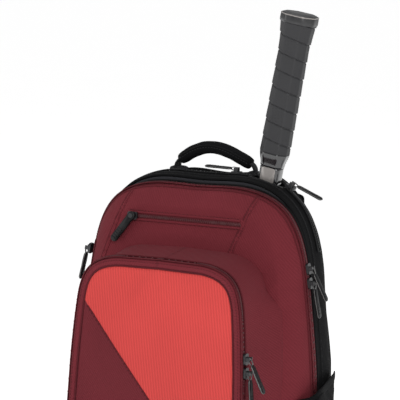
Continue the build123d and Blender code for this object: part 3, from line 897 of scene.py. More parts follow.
def rear_soft(co):
    """Slackness of the rear compartment, strongest on top."""
    top = min(1.0, max(0.0, (co.z - 0.30) / 0.12))
    edge = min(
        1.0, max(0.0, (co.y - SPLIT_Y - 0.004) / 0.01)
    ) * min(1.0, max(0.0, (BACK_Y - 0.004 - co.y) / 0.01))
    return edge * (wave(co, 0.040, 1.3) * 0.0016 * top + wave(co, 0.09, 5.0) * 0.0012)


displace(rear_body, rear_soft)
REAR_BVH = bvh(rear_body)
modify(rear_body, "SOLIDIFY", thickness=0.002, offset=-1)
modify(rear_body, "SUBSURF", levels=1, render_levels=1)
part(rear_body, "bag", ["racket_gusset"])

# stitched panel seams round the rear compartment
for k, y in enumerate((0.034, 0.086)):
    base, nrm = around(y, BAG_TOP, 0.0, 0.060)
    p, n = laid(REAR_BVH, base + nrm * 0.03, -nrm, 8)
    cord_edge(f"rear_seam_{k}", p, n, 0.0009, M["piping_black"], "bag", lift=0.0001)
    stitch_row(f"rear_seam_stitch_{k}", p, n, -0.0030, 0.0003, M["thread_black"], "bag")

# racket zip over the top, open where the racket comes out
for label, x_low, x_high in (("left", -0.150, SLOT_X[0]), ("right", SLOT_X[1], 0.150)):
    base, nrm = around(RACKET_ZIP_Y, BAG_TOP, 0.0, 0.418)
    keep = (base[:, 0] > x_low) & (base[:, 0] < x_high)
    p, n = laid(REAR_BVH, (base + nrm * 0.03)[keep], -nrm[keep], 6)
    for side in (-1, 1):
        zip_half(
            f"racket_zip_{label}_{'a' if side < 0 else 'b'}", p, n, "bag", side, M["piping_black"],
            M["tooth_black"], 0.0062
        )
stand_for("racket_zip")

# tapes that part round the racket and bind the edge of the opening, each with a coil row
for side, y_edge in ((-1, SLOT_Y[0]), (1, SLOT_Y[1])):
    xs = np.linspace(SLOT_X[0] - 0.002, SLOT_X[1] + 0.002, 24)
    bow = np.abs(np.sin(np.linspace(0, np.pi, 24))) ** 0.4
    line = [(x, RACKET_ZIP_Y + (y_edge - RACKET_ZIP_Y) * b, 0.6) for x, b in zip(xs, bow)]
    base, nrm = around(RACKET_ZIP_Y, BAG_TOP, 0.0, 0.418)
    z_at = np.interp([q[0] for q in line], base[:, 0], base[:, 2])
    p = np.array([(q[0], q[1], z + 0.0002) for q, z in zip(line, z_at)])
    n = np.tile([0.12, 0, 1.0], (len(p), 1))
    tape(
        f"opening_tape_{'front' if side < 0 else 'rear'}", p, n, 0.0056, 0.0010, M["piping_black"], "bag", 0.0
    )
    coil_row(
        f"opening_coil_{'front' if side < 0 else 'rear'}", p, n, 0.0009, M["tooth_black"], "bag",
        1 if side < 0 else -1
    )


# ------------------------------------------------------------------ back panel and pads
back_rings = []
for depth, inset in (
    (0.0004, 0.0006), (0.0020, 0.0004), (0.0040, 0.0010), (0.0056, 0.0026), (0.0070, 0.0060), (0.0074, 0.010)
):
    back_rings.append(black_ring(BACK_Y + depth, inset))
middle = np.array([0, BACK_Y + 0.0074, 0.25])
for s in np.linspace(1, 0, 30)[1:-1]:
    back_rings.append(middle + (back_rings[5] - middle) * s)
back_body = recalc(loft("back_body", back_rings, M["mesh"], centre=middle))
part(back_body, "bag", ["back_panel"])
p, n = around(BACK_Y + 0.0030, BAG_TOP + 0.0008, -0.0004, 0.009)
cord_edge("back_piping", p, n, 0.0018, M["piping_black"], "bag")


def pad_block(node, body, name, shrink=0.001, voxel=0.005, cap=0.006, pressure=4.0):
    """Padded foam piece: the CAD solid remeshed, inflated as cloth, capped and smoothed."""
    src = NODES[node]
    obj = bpy.data.objects.new(name, src.data.copy())
    bpy.context.scene.collection.objects.link(obj)
    obj.data.materials.clear()
    lo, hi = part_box(node)
    mid = (Vector(lo) + Vector(hi)) / 2
    size = Vector(hi) - Vector(lo)
    for v in obj.data.vertices:
        for a in range(3):
            v.co[a] = mid[a] + (v.co[a] - mid[a]) * (1 - 2 * shrink / size[a])
    modify(obj, "REMESH", mode="VOXEL", voxel_size=voxel)
    apply_all(obj)
    rest = np.array([v.co[:] for v in obj.data.vertices])
    m = modify(obj, "CLOTH")
    s = m.settings
    s.use_pressure = True
    s.uniform_pressure_force = pressure
    s.mass = 0.15
    s.tension_stiffness = 12
    s.effector_weights.gravity = 0
    scene = bpy.context.scene
    for f in range(1, 15):
        scene.frame_set(f)
    apply_all(obj)
    scene.frame_set(1)
    now = np.array([v.co[:] for v in obj.data.vertices])
    move = now - rest
    length = np.linalg.norm(move, axis=1)
    keep = np.minimum(1, cap / np.maximum(length, 1e-9))
    now = rest + move * keep[:, None]
    now[:, 1] = np.maximum(now[:, 1], lo[1] + 0.0003)
    for v, co in zip(obj.data.vertices, now):
        v.co = co
    modify(obj, "SUBSURF", levels=1, render_levels=1)
    obj.data.materials.append(M["mesh"])
    obj.data.polygons.foreach_set("use_smooth", [True] * len(obj.data.polygons))
    return part(obj, body, [node])


for node in ("back_pad_left", "back_pad_right", "lumbar_pad"):
    pad_block(node, "bag", node + "_soft", cap=0.0035)
    lo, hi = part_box(node)
    cx, cz = (lo[0] + hi[0]) / 2, (lo[2] + hi[2]) / 2
    hx, hz, r = (hi[0] - lo[0]) / 2 + 0.001, (hi[2] - lo[2]) / 2 + 0.001, 0.026
    loop = np.vstack(
        [
            arc(cx + sx * (hx - r), cz + sz * (hz - r), r, a, a - 90) for sx, sz,
            a in ((1, 1, 90), (1, -1, 0), (-1, -1, -90), (-1, 1, 180))
        ]
    )
    loop = resample(loop, 200, True)
    pts = at_depth(loop, PAD_Y + 0.0012)
    cord_edge(
        node + "_binding", pts, np.tile([0, 1, 0], (len(pts), 1)), 0.0014, M["piping_black"], "bag", True
    )


# ------------------------------------------------------------------ front pocket
def pocket_ring(f, inset, count=340):
    """Pocket outline at a fraction of the way from the main front to the door."""
    out = pocket_outline(inset, count)
    y_rear = FRONT_Y - 0.0002 + FRONT_LEAN * out[:, 1]
    y_door = POCKET_Y + DOOR_T + 0.0006 + POCKET_LEAN * out[:, 1]
    return at_depth(out, y_rear + (y_door - y_rear) * f)


def wall_ring(f):
    """Gusset ring: it sweeps out to the rear and ends lying on the main front."""
    belly = 0.0012 * math.sin(math.pi * f)
    low = pocket_ring(f, -0.020 * (1 - f) ** 2.3 - belly)
    high = pocket_ring(f, -0.005 * (1 - f) ** 3 - belly)
    share = np.clip((0.400 - low[:, 2:]) / 0.045, 0, 1)
    ring = high + (low - high) * share * share * (3 - 2 * share)
    ring[:, 2] = np.maximum(ring[:, 2], POCKET_BOTTOM)
    for q in ring:
        hit = FRONT_BVH.ray_cast(Vector((q[0], -0.3, q[2])), Vector((0, 1, 0)))[0]
        if hit is not None:
            flat = FRONT_Y - 0.0002 + FRONT_LEAN * q[2]
            q[1] += (hit.y + 0.0008 - flat) * (1 - f) ** 1.5
    return ring


wall_rings = [
    wall_ring(f) for f in (
        0.0, 0.03, 0.06, 0.1, 0.15, 0.2, 0.26, 0.33, 0.42, 0.52, 0.62, 0.72, 0.82, 0.9, 0.96, 1.0
    )
]
pocket_wall = recalc(loft("pocket_wall", wall_rings, M["burg"]))
displace(
    pocket_wall,
    lambda co: wave(co, 0.05, 2.2) * 0.0010 * min(
        1, max(0, (co.y - POCKET_Y - POCKET_LEAN * co.z - 0.008) / 0.02)
    )
)
modify(pocket_wall, "SOLIDIFY", thickness=0.002, offset=-1)
modify(pocket_wall, "SUBSURF", levels=1, render_levels=1)
part(pocket_wall, "main_front", ["pocket_gusset"])


def pocket_line(y_shift, outset, low=None, count=360):
    """Line round the pocket at the door's edge, moved back by y_shift and out by outset."""
    out = pocket_outline(-outset, count)
    tangent = np.roll(out, -1, 0) - np.roll(out, 1, 0)
    normal = np.stack([-tangent[:, 1], np.zeros(len(out)), tangent[:, 0]], axis=1)
    normal /= np.linalg.norm(normal, axis=1)[:, None]
    y = POCKET_Y + POCKET_LEAN * out[:, 1] + y_shift
    pts = at_depth(out, y)
    if low is None:
        return pts, normal
    order = np.roll(np.arange(count), count // 2)
    keep = out[order][:, 1] > low
    return pts[order][keep], normal[order][keep]


# the zip between gusset and door: coil and tape behind, a welt, and a coil on the door
p, n = pocket_line(0.0052, 0.0012, POCKET_BOTTOM + 0.030)
zip_half("pocket_zip_rear", p, n, "main_front", 1, M["piping"], M["tooth"], 0.0042, 0.0)
stand_for("pocket_zip")
cord_edge(
    "pocket_welt", *pocket_line(0.0112, 0.0017, POCKET_BOTTOM + 0.030), 0.0013, M["burg_dark_piping_and_shade"], "main_front"
)
p, n = pocket_line(0.0040, 0.0012, POCKET_BOTTOM + 0.030)
coil_row("pocket_zip_front_coil", p, n, 0.0004, M["tooth"], "pocket_door", -1)


def door_y(x, z):
    """Front surface of the door: a slightly crowned panel with soft creases under its top edge."""
    y = POCKET_Y + POCKET_LEAN * z
    u = min(1.0, abs(x) / 0.098)
    w = min(1.0, abs(z - 0.235) / 0.175)
    y -= 0.0042 * (1 - u**2) ** 0.7 * (1 - w**4) ** 0.8
    y += creased(x, z, DOOR_CREASES)
    y += 0.0009 * noise.noise(Vector((x / 0.06, z / 0.11, 4.0)))
    return y


def door_panel(name, material, node, keep_above):
    """One colour of the door, cut along the falling line."""
    out = pocket_outline(DOOR_INSET, 340)
    mid = np.array([0.0, 0.235])
    rings = []
    for s in np.concatenate([[1.0, 0.992, 0.98], np.linspace(0.965, 0, 60)[:-1]]):
        flat = mid + (out - mid) * s
        roll = 0.0016 * max(0, 1 - (1 - s) / 0.02) ** 2
        rings.append(np.array([(x, door_y(x, z) + roll, z) for x, z in flat]))
    obj = loft(name, rings, material, centre=(mid[0], door_y(*mid), mid[1]))
    recalc(obj)
    flat_uv(obj)
    bm = bmesh.new()
    bm.from_mesh(obj.data)
    bmesh.ops.bisect_plane(
        bm,
        geom=bm.verts[:] + bm.edges[:] + bm.faces[:],
        plane_co=(0, 0, DOOR_SEAM_TOP),
        plane_no=(-DOOR_SEAM_SLOPE, 0, 1),
        clear_outer=not keep_above,
        clear_inner=keep_above,
    )
    bm.to_mesh(obj.data)
    bm.free()
    modify(obj, "SOLIDIFY", thickness=0.0030, offset=-1)
    return part(obj, "pocket_door", [node])


door_upper = door_panel("door_upper_cloth", M["coral"], "door_upper", True)
door_lower = door_panel("door_lower_cloth", M["burg_door"], "door_lower", False)
for obj in (door_upper, door_lower):
    facing = sum(p.normal.y * p.area for p in obj.data.polygons)
    if facing > 0:
        obj.data.flip_normals()

# seam that joins the two colours; its fold is a thin dark cord, painted shade along the seam
xs = np.linspace(-0.0925, 0.098, 110)
heights = DOOR_SEAM_TOP + DOOR_SEAM_SLOPE * xs
seam = [(x, door_y(x, z) - 0.0001, z) for x, z in zip(xs, heights)]
seam = np.array([q for q in seam if 0.060 < q[2] < 0.360])
front_n = np.tile([0, -1, POCKET_LEAN], (len(seam), 1))
stitch_line, stitch_n = shift_side(seam, front_n, 0.0017, 0.0001)
stitches("door_seam_stitch", stitch_line, stitch_n, M["thread"], "pocket_door")
cord_edge("door_seam_fold", seam, front_n, 0.0005, M["burg_dark_piping_and_shade"], "pocket_door")

# bound border: a rolled strip round the door; the groove inside it is a dark cord, painted shade in the
# groove
border_rings = []
for inset, dy in (
    (0.0004, 0.0034), (0.0, 0.0020), (0.0004, 0.0006), (0.0016, -0.0002), (0.0036, -0.0006),
    (0.0060, -0.0006), (0.0078, 0.0000), (0.0087, 0.0012), (0.0087, 0.0034)
):
    out = pocket_outline(inset, 340)
    border_rings.append(at_depth(out, POCKET_Y + POCKET_LEAN * out[:, 1] + dy))
border = recalc(loft("door_border_binding", border_rings, M["burg"]))
part(border, "pocket_door", ["door_border"])
# dark cord that paints the shade of the border's groove
p, n = pocket_line(-0.0002, -0.0088)
cord_edge(
    "door_border_groove", p, np.tile([0, -1, POCKET_LEAN], (len(p), 1)), 0.0009, M["burg_dark_piping_and_shade"],
    "pocket_door", True
)
p, n = pocket_line(-0.0006, -0.0026)
stitches(
    "door_border_stitch", p, np.tile([0, -1, POCKET_LEAN], (len(p), 1)), M["thread"], "pocket_door",
    closed=True
)
p, n = pocket_line(0.0024, 0.0)
cord_edge("door_edge_piping", p, n, 0.0010, M["burg_dark_piping_and_shade"], "pocket_door", True, lift=-0.0004)

# ------------------------------------------------------------------ welt pocket
def front_line(x0, z0, x1, z1, count=70):
    """Line laid on the main front between two places."""
    line = [(x0 + (x1 - x0) * s, -0.3, z0 + (z1 - z0) * s) for s in np.linspace(0, 1, count)]
    return laid(FRONT_BVH, line, (0, 1, 0))


p, n = front_line(WELT_L, WELT_Z, WELT_R, WELT_Z)
bed = tape("welt_bed", p, n, 0.0100, 0.0005, M["burg_dark_piping_and_shade"], "main_front")
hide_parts("welt_zip")
for side in (-1, 1):
    edge, en = shift_side(p, n, side * 0.0044, 0.0004)
    part(
        sweep(
            f"welt_lip_{'low' if side > 0 else 'high'}", edge, en, oval(0.0030, 0.0022, 10, 2.6), M["burg"]
        ),
        "main_front"
    )
    stitch_row(
        f"welt_stitch_{'low' if side > 0 else 'high'}", p, n, side * 0.0064, 0.0001, M["thread"], "main_front"
    )
    coil_row(f"welt_coil_{'low' if side > 0 else 'high'}", p, n, 0.0005, M["tooth"], "main_front", side)
for x in (WELT_L - 0.0015, WELT_R + 0.0015):
    q, qn = front_line(x, WELT_Z - 0.007, x, WELT_Z + 0.007, 16)
    tape("welt_end_" + ("left" if x < 0 else "right"), q, qn, 0.0034, 0.0009, M["burg"], "main_front")

# ------------------------------------------------------------------ left side zip
base, nrm = around(SIDE_ZIP_Y, LID_TOP, 0.0, 0.286)
keep = (base[:, 0] < -0.10) & (base[:, 2] < 0.418)
p, n = laid(FRONT_BVH, (base + nrm * 0.03)[keep], -nrm[keep], 6)
for side in (-1, 1):
    zip_half(f"side_zip_{'a' if side < 0 else 'b'}", p, n, "main_front", side, M["piping"], M["tooth"])
stand_for("side_zip")


# ------------------------------------------------------------------ side pockets
SIDE_X = HALF_W + 0.0006


def side_section(side, s, lift=0.0):
    """Section of a side pocket at a fraction of its height; the top edge rises towards the rear."""
    z = 0.0525 + s * (SIDE_TOP - 0.0525)
    bulge = np.interp(z, [0.052, 0.110, 0.200, SIDE_TOP], [0.005, 0.012, 0.0135, 0.0085])
    depth = (ZIP_Y - SIDE_FRONT_Y) / (ZIP_Y - FRONT_Y - FRONT_LEAN * z)
    front_x = HALF_W - dome_section(depth) + 0.0012
    bow = clamped_spline(
        [
            (SIDE_X + 0.0022, 0.0695), (SIDE_X + bulge, 0.026),
            (max(front_x + 0.0052, HALF_W + 0.0042), -0.0125), (front_x, SIDE_FRONT_Y)
        ],
        (0.35, -1),
        (-0.45, -1),
        48,
    )
    flat = np.vstack([[(SIDE_X - 0.0010, 0.0700)], bow])
    tall = 0.0525 + s * (0.2610 + 0.09 * (flat[:, 1] - 0.016) - 0.0525) + lift
    tall -= 0.55 * s * np.maximum(0.0, -flat[:, 1])
    for q, height in zip(flat, tall):
        if q[1] < ZIP_Y:
            hit = FRONT_BVH.ray_cast(Vector((side * 0.4, q[1], height)), Vector((-side, 0, 0)))[0]
            if hit is not None:
                q[0] = max(q[0], abs(hit.x) + 0.0018)
    return np.stack([side * flat[:, 0], flat[:, 1], tall], axis=1)


def stretchy(obj):
    """Bake a side pocket piece's transform into its mesh."""
    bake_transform(obj)
    return obj


for side, word in ((-1, "left"), (1, "right")):
    rings = [side_section(side, f) for f in np.linspace(0, 1, 62)]
    obj = loft(f"side_pocket_{word}_cloth", rings, M["stretch"], closed=False)
    recalc(obj)
    facing = sum(f.normal.x * side * f.area for f in obj.data.polygons)
    if facing < 0:
        obj.data.flip_normals()

    def pucker(co):
        """Gathered cloth under the elastic hem."""
        rise = (co.z - 0.05) / (SIDE_TOP - 0.05)
        clear = min(1.0, max(0.0, (co.y - SIDE_FRONT_Y) / 0.012)) * min(1.0, max(0.0, (0.068 - co.y) / 0.010))
        pull = math.sin((co.y * 0.8 + co.z) / 0.0026) * 0.0004 * max(0, 1 - abs(rise - 0.92) / 0.10)
        return clear * (abs(wave(co, 0.045, 6.0 + side)) * 0.0026 + pull)

    displace(obj, pucker)
    modify(obj, "SOLIDIFY", thickness=0.0012, offset=-1)
    stretchy(obj)
    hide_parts(f"side_pocket_{word}")
    top = side_section(side, 1.0, 0.0010)[2:]
    outward = np.gradient(top, axis=0)
    up = np.stack([outward[:, 1], -outward[:, 0], np.zeros(len(top))], axis=1) * side * -1
    stretchy(sweep(f"side_pocket_{word}_hem", top, up, oval(0.011, 0.0022, 12, 3.0), M["stretch"]))
    centre = side_section(side, 0.0).mean(0)
    base_rings = [centre + (side_section(side, 0.0) - centre) * k for k in (1.0, 0.8, 0.5, 0.2)]
    bottom = recalc(loft(f"side_pocket_{word}_floor", base_rings, M["stretch"], centre=centre))
    modify(bottom, "SOLIDIFY", thickness=0.0010, offset=0)
    stretchy(bottom)

# ------------------------------------------------------------------ carry handle
H_Y = 0.084
arch = smooth_path(
    [
        (-0.060, H_Y, 0.5135), (-0.044, H_Y, 0.524), (-0.021, H_Y, 0.5315), (0.010, H_Y, 0.526),
        (0.037, H_Y, 0.5135)
    ],
    70
)
fat = np.ones((70, 2))
ends = np.minimum(1, np.minimum(np.arange(70), np.arange(70)[::-1]) / 5.0)
fat *= (0.72 + 0.28 * np.sqrt(ends))[:, None]
grip_ups = np.tile([0, -1, 0], (70, 1))
grip = sweep("handle_grip_padded", arch, grip_ups, oval(0.0158, 0.0170, 22, 2.2), M["black"], scale=fat)
displace(grip, lambda co: wave(co, 0.012, 9.0) * 0.0005)
modify(grip, "SUBSURF", levels=1, render_levels=1)
part(grip, "carry_handle", ["handle_grip"])
line, ups = shift_side(arch[3:-3], grip_ups[3:-3], -0.0030, 0.0083)
cord_edge("handle_grip_seam", line, ups, 0.0009, M["piping_black"], "carry_handle")
stitch_row(
    "handle_grip_stitch", arch[3:-3], grip_ups[3:-3], -0.0006, 0.0085, M["thread_black"], "carry_handle"
)
for word, x_in, x_out, z_in, width in (
    ("left", -0.0560, -0.0640, 0.5185, 0.0180), ("right", 0.0330, 0.0420, 0.5175, 0.0120)
):
    lean = -1 if word == "left" else 1
    path = smooth_path(
        [(x_in, H_Y, z_in), (x_out - lean * 0.003, H_Y, 0.5130), (x_out, H_Y, 0.5070), (x_out, H_Y, 0.5044)],
        26
    )
    loop = sweep(
        f"handle_{word}_web", path, np.tile([lean, 0, 0.5], (26, 1)), oval(width, 0.0032, 12, 3.2), M["web"]
    )
    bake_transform(loop)
    node = f"handle_anchor_{word}"
    lo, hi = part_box(node)
    cx = (lo[0] + hi[0]) / 2
    w, d = hi[0] - lo[0], hi[1] - lo[1]
    tab_rings = []
    for k, (sx, sy, z) in enumerate(
        (
            (1.0, 1.0, lo[2] - 0.0050), (1.0, 1.0, lo[2] + 0.0008), (0.9, 0.95, hi[2]),
            (0.62, 0.8, hi[2] + 0.0016)
        )
    ):
        outline = oval(w * sx, d * sy, 28, 4.0)
        tab_rings.append(np.stack([cx + outline[:, 0], H_Y + outline[:, 1], np.full(28, z)], axis=1))
    tab = recalc(loft(f"handle_{word}_tab", tab_rings, M["web"], centre=(cx, H_Y, hi[2] + 0.0018)))
    modify(tab, "SUBSURF", levels=1, render_levels=2)
    part(tab, "bag", [node])

# ------------------------------------------------------------------ shoulder straps
for side, word in ((-1, "left"), (1, "right")):
    body = f"strap_{word}"
    centre_line = smooth_path(
        [
            (side * 0.058, PAD_Y + 0.012, 0.470),
            (side * 0.060, PAD_Y + 0.037, 0.446),
            (side * 0.070, PAD_Y + 0.052, 0.380),
            (side * 0.086, PAD_Y + 0.050, 0.290),
            (side * 0.100, PAD_Y + 0.038, 0.205),
            (side * 0.106, PAD_Y + 0.030, 0.172),
        ],
        90,
    )
    ups = np.tile([0, 1, 0.25], (90, 1))
    ups[:8] = [0, 0.5, 1]
    t = np.linspace(0, 1, 90)
    wide = np.stack(
        [
            1.0 + 0.05 * np.sin(np.pi * t) - 0.22 * np.clip((t - 0.72) / 0.28, 0, 1),
            1 - 0.35 * np.clip((t - 0.92) / 0.08, 0, 1)
        ],
        axis=1
    )
    strap = sweep(
        f"strap_{word}_pad", centre_line, smoothed(ups, 10), oval(0.058, 0.0092, 30, 3.2), M["mesh"],
        scale=wide
    )
    displace(strap, lambda co: wave(co, 0.03, 4.0) * 0.0006)
    modify(strap, "SUBSURF", levels=1, render_levels=1)
    part(strap, body, [f"shoulder_strap_{word}"])
    soft_ups = smoothed(ups, 10)
    pp, tt, uu, ss = frames(centre_line, soft_ups)
    for edge in (-1, 1):
        line = pp + ss * (edge * 0.0287 * wide[:, :1])
        cord_edge(
            f"strap_{word}_binding_{'in' if edge < 0 else 'out'}", line, uu, 0.0021, M["piping_black"], body
        )
    tape(f"strap_{word}_web", centre_line[4:86], uu[4:86], 0.025, 0.0016, M["web"], body, 0.0, 0.0046)
    for edge in (-1, 1):
        row = (pp + ss * (edge * 0.0108) + uu * 0.0061)[5:85]
        stitches(
            f"strap_{word}_web_stitch_{'in' if edge < 0 else 'out'}", row, uu[5:85], M["thread_black"], body
        )
    for k, at in enumerate((14, 30, 46, 62, 78)):
        bar = np.linspace(pp[at] - ss[at] * 0.011, pp[at] + ss[at] * 0.011, 8)
        tape(
            f"strap_{word}_bartack_{k}", bar, np.tile(uu[at], (8, 1)), 0.0024, 0.0008, M["thread_black"],
            body, 0.0, 0.0060
        )
    # webbing from the strap's end through the buckle and down to the anchor
    top = pp[86]
    buckle_lo, buckle_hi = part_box(f"ladderlock_{word}")
    bx, by, bz = ((buckle_lo[k] + buckle_hi[k]) / 2 for k in range(3))
    stub = smooth_path([top, (bx, by + 0.0035, bz + 0.007), (bx, by + 0.0042, bz + 0.0015)], 16)
    tape(f"strap_{word}_buckle_web", stub, np.tile([0, 1, 0.4], (16, 1)), 0.025, 0.0014, M["web"], body)
    low_lo, low_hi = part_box(f"lower_webbing_{word}")
    run = smooth_path(
        [
            (bx, by - 0.001, bz - 0.0045),
            (side * 0.1075, PAD_Y + 0.021, 0.143),
            (side * 0.1070, PAD_Y + 0.015, 0.106),
            (side * 0.1050, PAD_Y + 0.0058, 0.073),
            (side * 0.1040, PAD_Y + 0.0042, 0.058),
        ],
        60,
    )
    web = sweep(
        f"lower_{word}_web", run, np.tile([0, 1, 0.2], (60, 1)), strip_profile(0.025, 0.0016), M["web"]
    )
    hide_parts(f"lower_webbing_{word}")
    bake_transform(web)
    # folded anchor tab sewn into the corner
    lo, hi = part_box(f"lower_anchor_{word}")
    cx, cz = (lo[0] + hi[0]) / 2, (lo[2] + hi[2]) / 2
    w, h = hi[0] - lo[0], hi[2] - lo[2]
    rings = []
    for inset, y in ((0.0, lo[1] + 0.0002), (0.0, lo[1] + 0.0016), (0.0012, hi[1]), (0.006, hi[1] + 0.0006)):
        a, b = w / 2 - inset, h / 2 - inset
        quad = resample([(-a, -b), (a, -b), (a * 0.62, b), (-a * 0.62, b)], 48, True)
        rings.append(np.stack([cx + quad[:, 0], np.full(48, y), cz + quad[:, 1]], axis=1))
    anchor = recalc(loft(f"lower_{word}_tab", rings, M["web"], centre=(cx, hi[1] + 0.0007, cz)))
    part(anchor, "bag", [f"lower_anchor_{word}"])
    box_line = [
        (cx - w * 0.26, hi[1] + 0.0006, cz - h * 0.3), (cx + w * 0.26, hi[1] + 0.0006, cz - h * 0.3),
        (cx + w * 0.18, hi[1] + 0.0006, cz + h * 0.3), (cx - w * 0.18, hi[1] + 0.0006, cz + h * 0.3)
    ]
    box_pts = resample(box_line, 60, True)
    stitches(
        f"lower_{word}_tab_stitch", box_pts, np.tile([0, 1, 0], (60, 1)), M["thread_black"], "bag",
        closed=True
    )
    modify(NODES[f"ladderlock_{word}"], "BEVEL", width=0.0006, segments=2, limit_method="ANGLE")

lo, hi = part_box("strap_yoke")
yoke_rings = []
for inset, y in ((0.0, lo[1]), (0.0, lo[1] + 0.0025), (0.0012, hi[1] - 0.0003), (0.005, hi[1] + 0.0003)):
    outline = oval(hi[0] - lo[0] - 2 * inset, hi[2] - lo[2] - 2 * inset, 120, 5.0)
    yoke_rings.append(np.stack([outline[:, 0], np.full(120, y), (lo[2] + hi[2]) / 2 + outline[:, 1]], axis=1))
yoke = recalc(loft("strap_yoke_panel", yoke_rings, M["web"], centre=(0, hi[1] + 0.0004, (lo[2] + hi[2]) / 2)))
part(yoke, "bag", ["strap_yoke"])
outline = oval(hi[0] - lo[0] - 0.008, hi[2] - lo[2] - 0.008, 140, 5.0)
pts = np.stack([outline[:, 0], np.full(140, hi[1] + 0.0004), (lo[2] + hi[2]) / 2 + outline[:, 1]], axis=1)
stitches("strap_yoke_stitch", pts, np.tile([0, 1, 0], (140, 1)), M["thread_black"], "bag", closed=True)

# ------------------------------------------------------------------ inner panels and base
def dress(node, material, bevel=0.0):
    """Finish for a CAD piece that stays in view."""
    obj = NODES[node]
    obj.data.materials.clear()
    obj.data.materials.append(material)
    if bevel:
        modify(obj, "BEVEL", width=bevel, segments=2, limit_method="ANGLE", angle_limit=0.6)


lo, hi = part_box("divider_panel")
divider_rings = []
for depth, inset in ((0.0, 0.0042), (0.0002, 0.0036), (0.0012, 0.0034), (0.0022, 0.0036), (0.0024, 0.0044)):
    out = outline_at(SPLIT_Y + 0.003, BAG_TOP, inset, 300)
    divider_rings.append(
        np.stack([out[:, 0], np.full(300, lo[1] + depth * (hi[1] - lo[1]) / 0.0024), out[:, 1]], axis=1)
    )
middle = np.array([0, (lo[1] + hi[1]) / 2, 0.25])
for end in (0, -1):
    face_rings = [divider_rings[end]]
    for s in np.linspace(1, 0, 40)[1:-1]:
        face_rings.append(
            middle * [1, 0, 1] + [0, divider_rings[end][0][1], 0] + (
                divider_rings[end] - [0, divider_rings[end][0][1], 0] - middle * [1, 0, 1]
            ) * s
        )
    half = loft(
        "divider_front" if end == 0 else "divider_rear", face_rings, M["lining"],
        centre=(0, divider_rings[end][0][1], 0.25)
    )
    part(recalc(half), "bag", ["divider_panel"] if end == 0 else ())
edge = loft("divider_edge", divider_rings, M["lining"])
part(recalc(edge), "bag")

lo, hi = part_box("welt_lining")
sack_rings = []
steps = np.linspace(0, 1, 22)
for s in steps:
    z = lo[2] + (hi[2] - lo[2]) * s
    full = math.sin(math.pi * min(1, max(0.02, s))) ** 0.35
    outline = oval(
        (hi[0] - lo[0]) * (0.94 + 0.06 * full),
        (hi[1] - lo[1]) * (0.25 + 0.7 * full) * (0.45 if s > 0.9 else 0.62), 60, 3.0
    )
    lean = (lo[1] + hi[1]) / 2 + FRONT_LEAN * (z - (lo[2] + hi[2]) / 2)
    sack_rings.append(
        np.stack([(lo[0] + hi[0]) / 2 + outline[:, 0], lean + outline[:, 1], np.full(60, z)], axis=1)
    )
sack = recalc(loft("welt_sack", sack_rings, M["lining"]))
displace(sack, lambda co: wave(co, 0.03, 8.0) * 0.0008)
part(sack, "main_front", ["welt_lining"])

dress("base_panel", M["coated"], 0.0012)
dress("base_feet", M["rubber"], 0.0008)

# ------------------------------------------------------------------ sliders and pulls
PULLS = {
    "main_slider_upper": "main_pull_upper",
    "main_slider_lower": "main_pull_lower",
    "pocket_slider_upper": "pocket_pull_upper",
    "pocket_slider_lower": "pocket_pull_lower",
    "racket_slider_left": "racket_pull_left",
    "racket_slider_right": "racket_pull_right",
    "side_slider": "side_pull",
    "welt_slider": "welt_pull",
}


def axes_of(pull):
    """Pin centre, pin axis, hanging direction and thickness direction of a pull."""
    joint = JOINTS[pull + "_swing"]
    pin = np.array(joint["pos_m"])
    axis = np.array(joint["axis"], float)
    axis /= np.linalg.norm(axis)
    co = np.array([v.co[:] for v in NODES[pull].data.vertices])
    world = np.array(NODES[pull].matrix_world)
    co = co @ world[:3, :3].T + world[:3, 3]
    down = (co.min(0) + co.max(0)) / 2 - pin
    down -= down.dot(axis) * axis
    down /= np.linalg.norm(down)
    return pin, axis, down, np.cross(axis, down)


def slab(name, pin, across, down, out, outline, layers, material, body):
    """Flat moulded piece: layers of (inset, height) over a closed outline in the across/down plane."""
    shape = np.array(outline)
    middle = shape.mean(0)
    rings = []
    for inset, height in layers:
        d = shape - middle
        size = np.linalg.norm(d, axis=1)[:, None]
        at = middle + d * np.maximum(0.0, 1 - inset / size)
        rings.append(pin + np.outer(at[:, 0], across) + np.outer(at[:, 1], down) + out * height)
    obj = loft(name, rings, material, centre=rings[-1].mean(0))
    bm = bmesh.new()
    bm.from_mesh(obj.data)
    bmesh.ops.holes_fill(bm, edges=[e for e in bm.edges if e.is_boundary], sides=0)
    bm.to_mesh(obj.data)
    bm.free()
    return part(recalc(obj), body)


def stadium(w, y0, y1, r, count=64):
    """Rounded rectangle, w wide, from y0 to y1."""
    pts = np.vstack([
        arc(w / 2 - r, y0 + r, r, -90, 0, 8),
        arc(w / 2 - r, y1 - r, r, 0, 90, 8),
        arc(-w / 2 + r, y1 - r, r, 90, 180, 8),
        arc(-w / 2 + r, y0 + r, r, 180, 270, 8),
    ])
    return resample(pts, count, True)


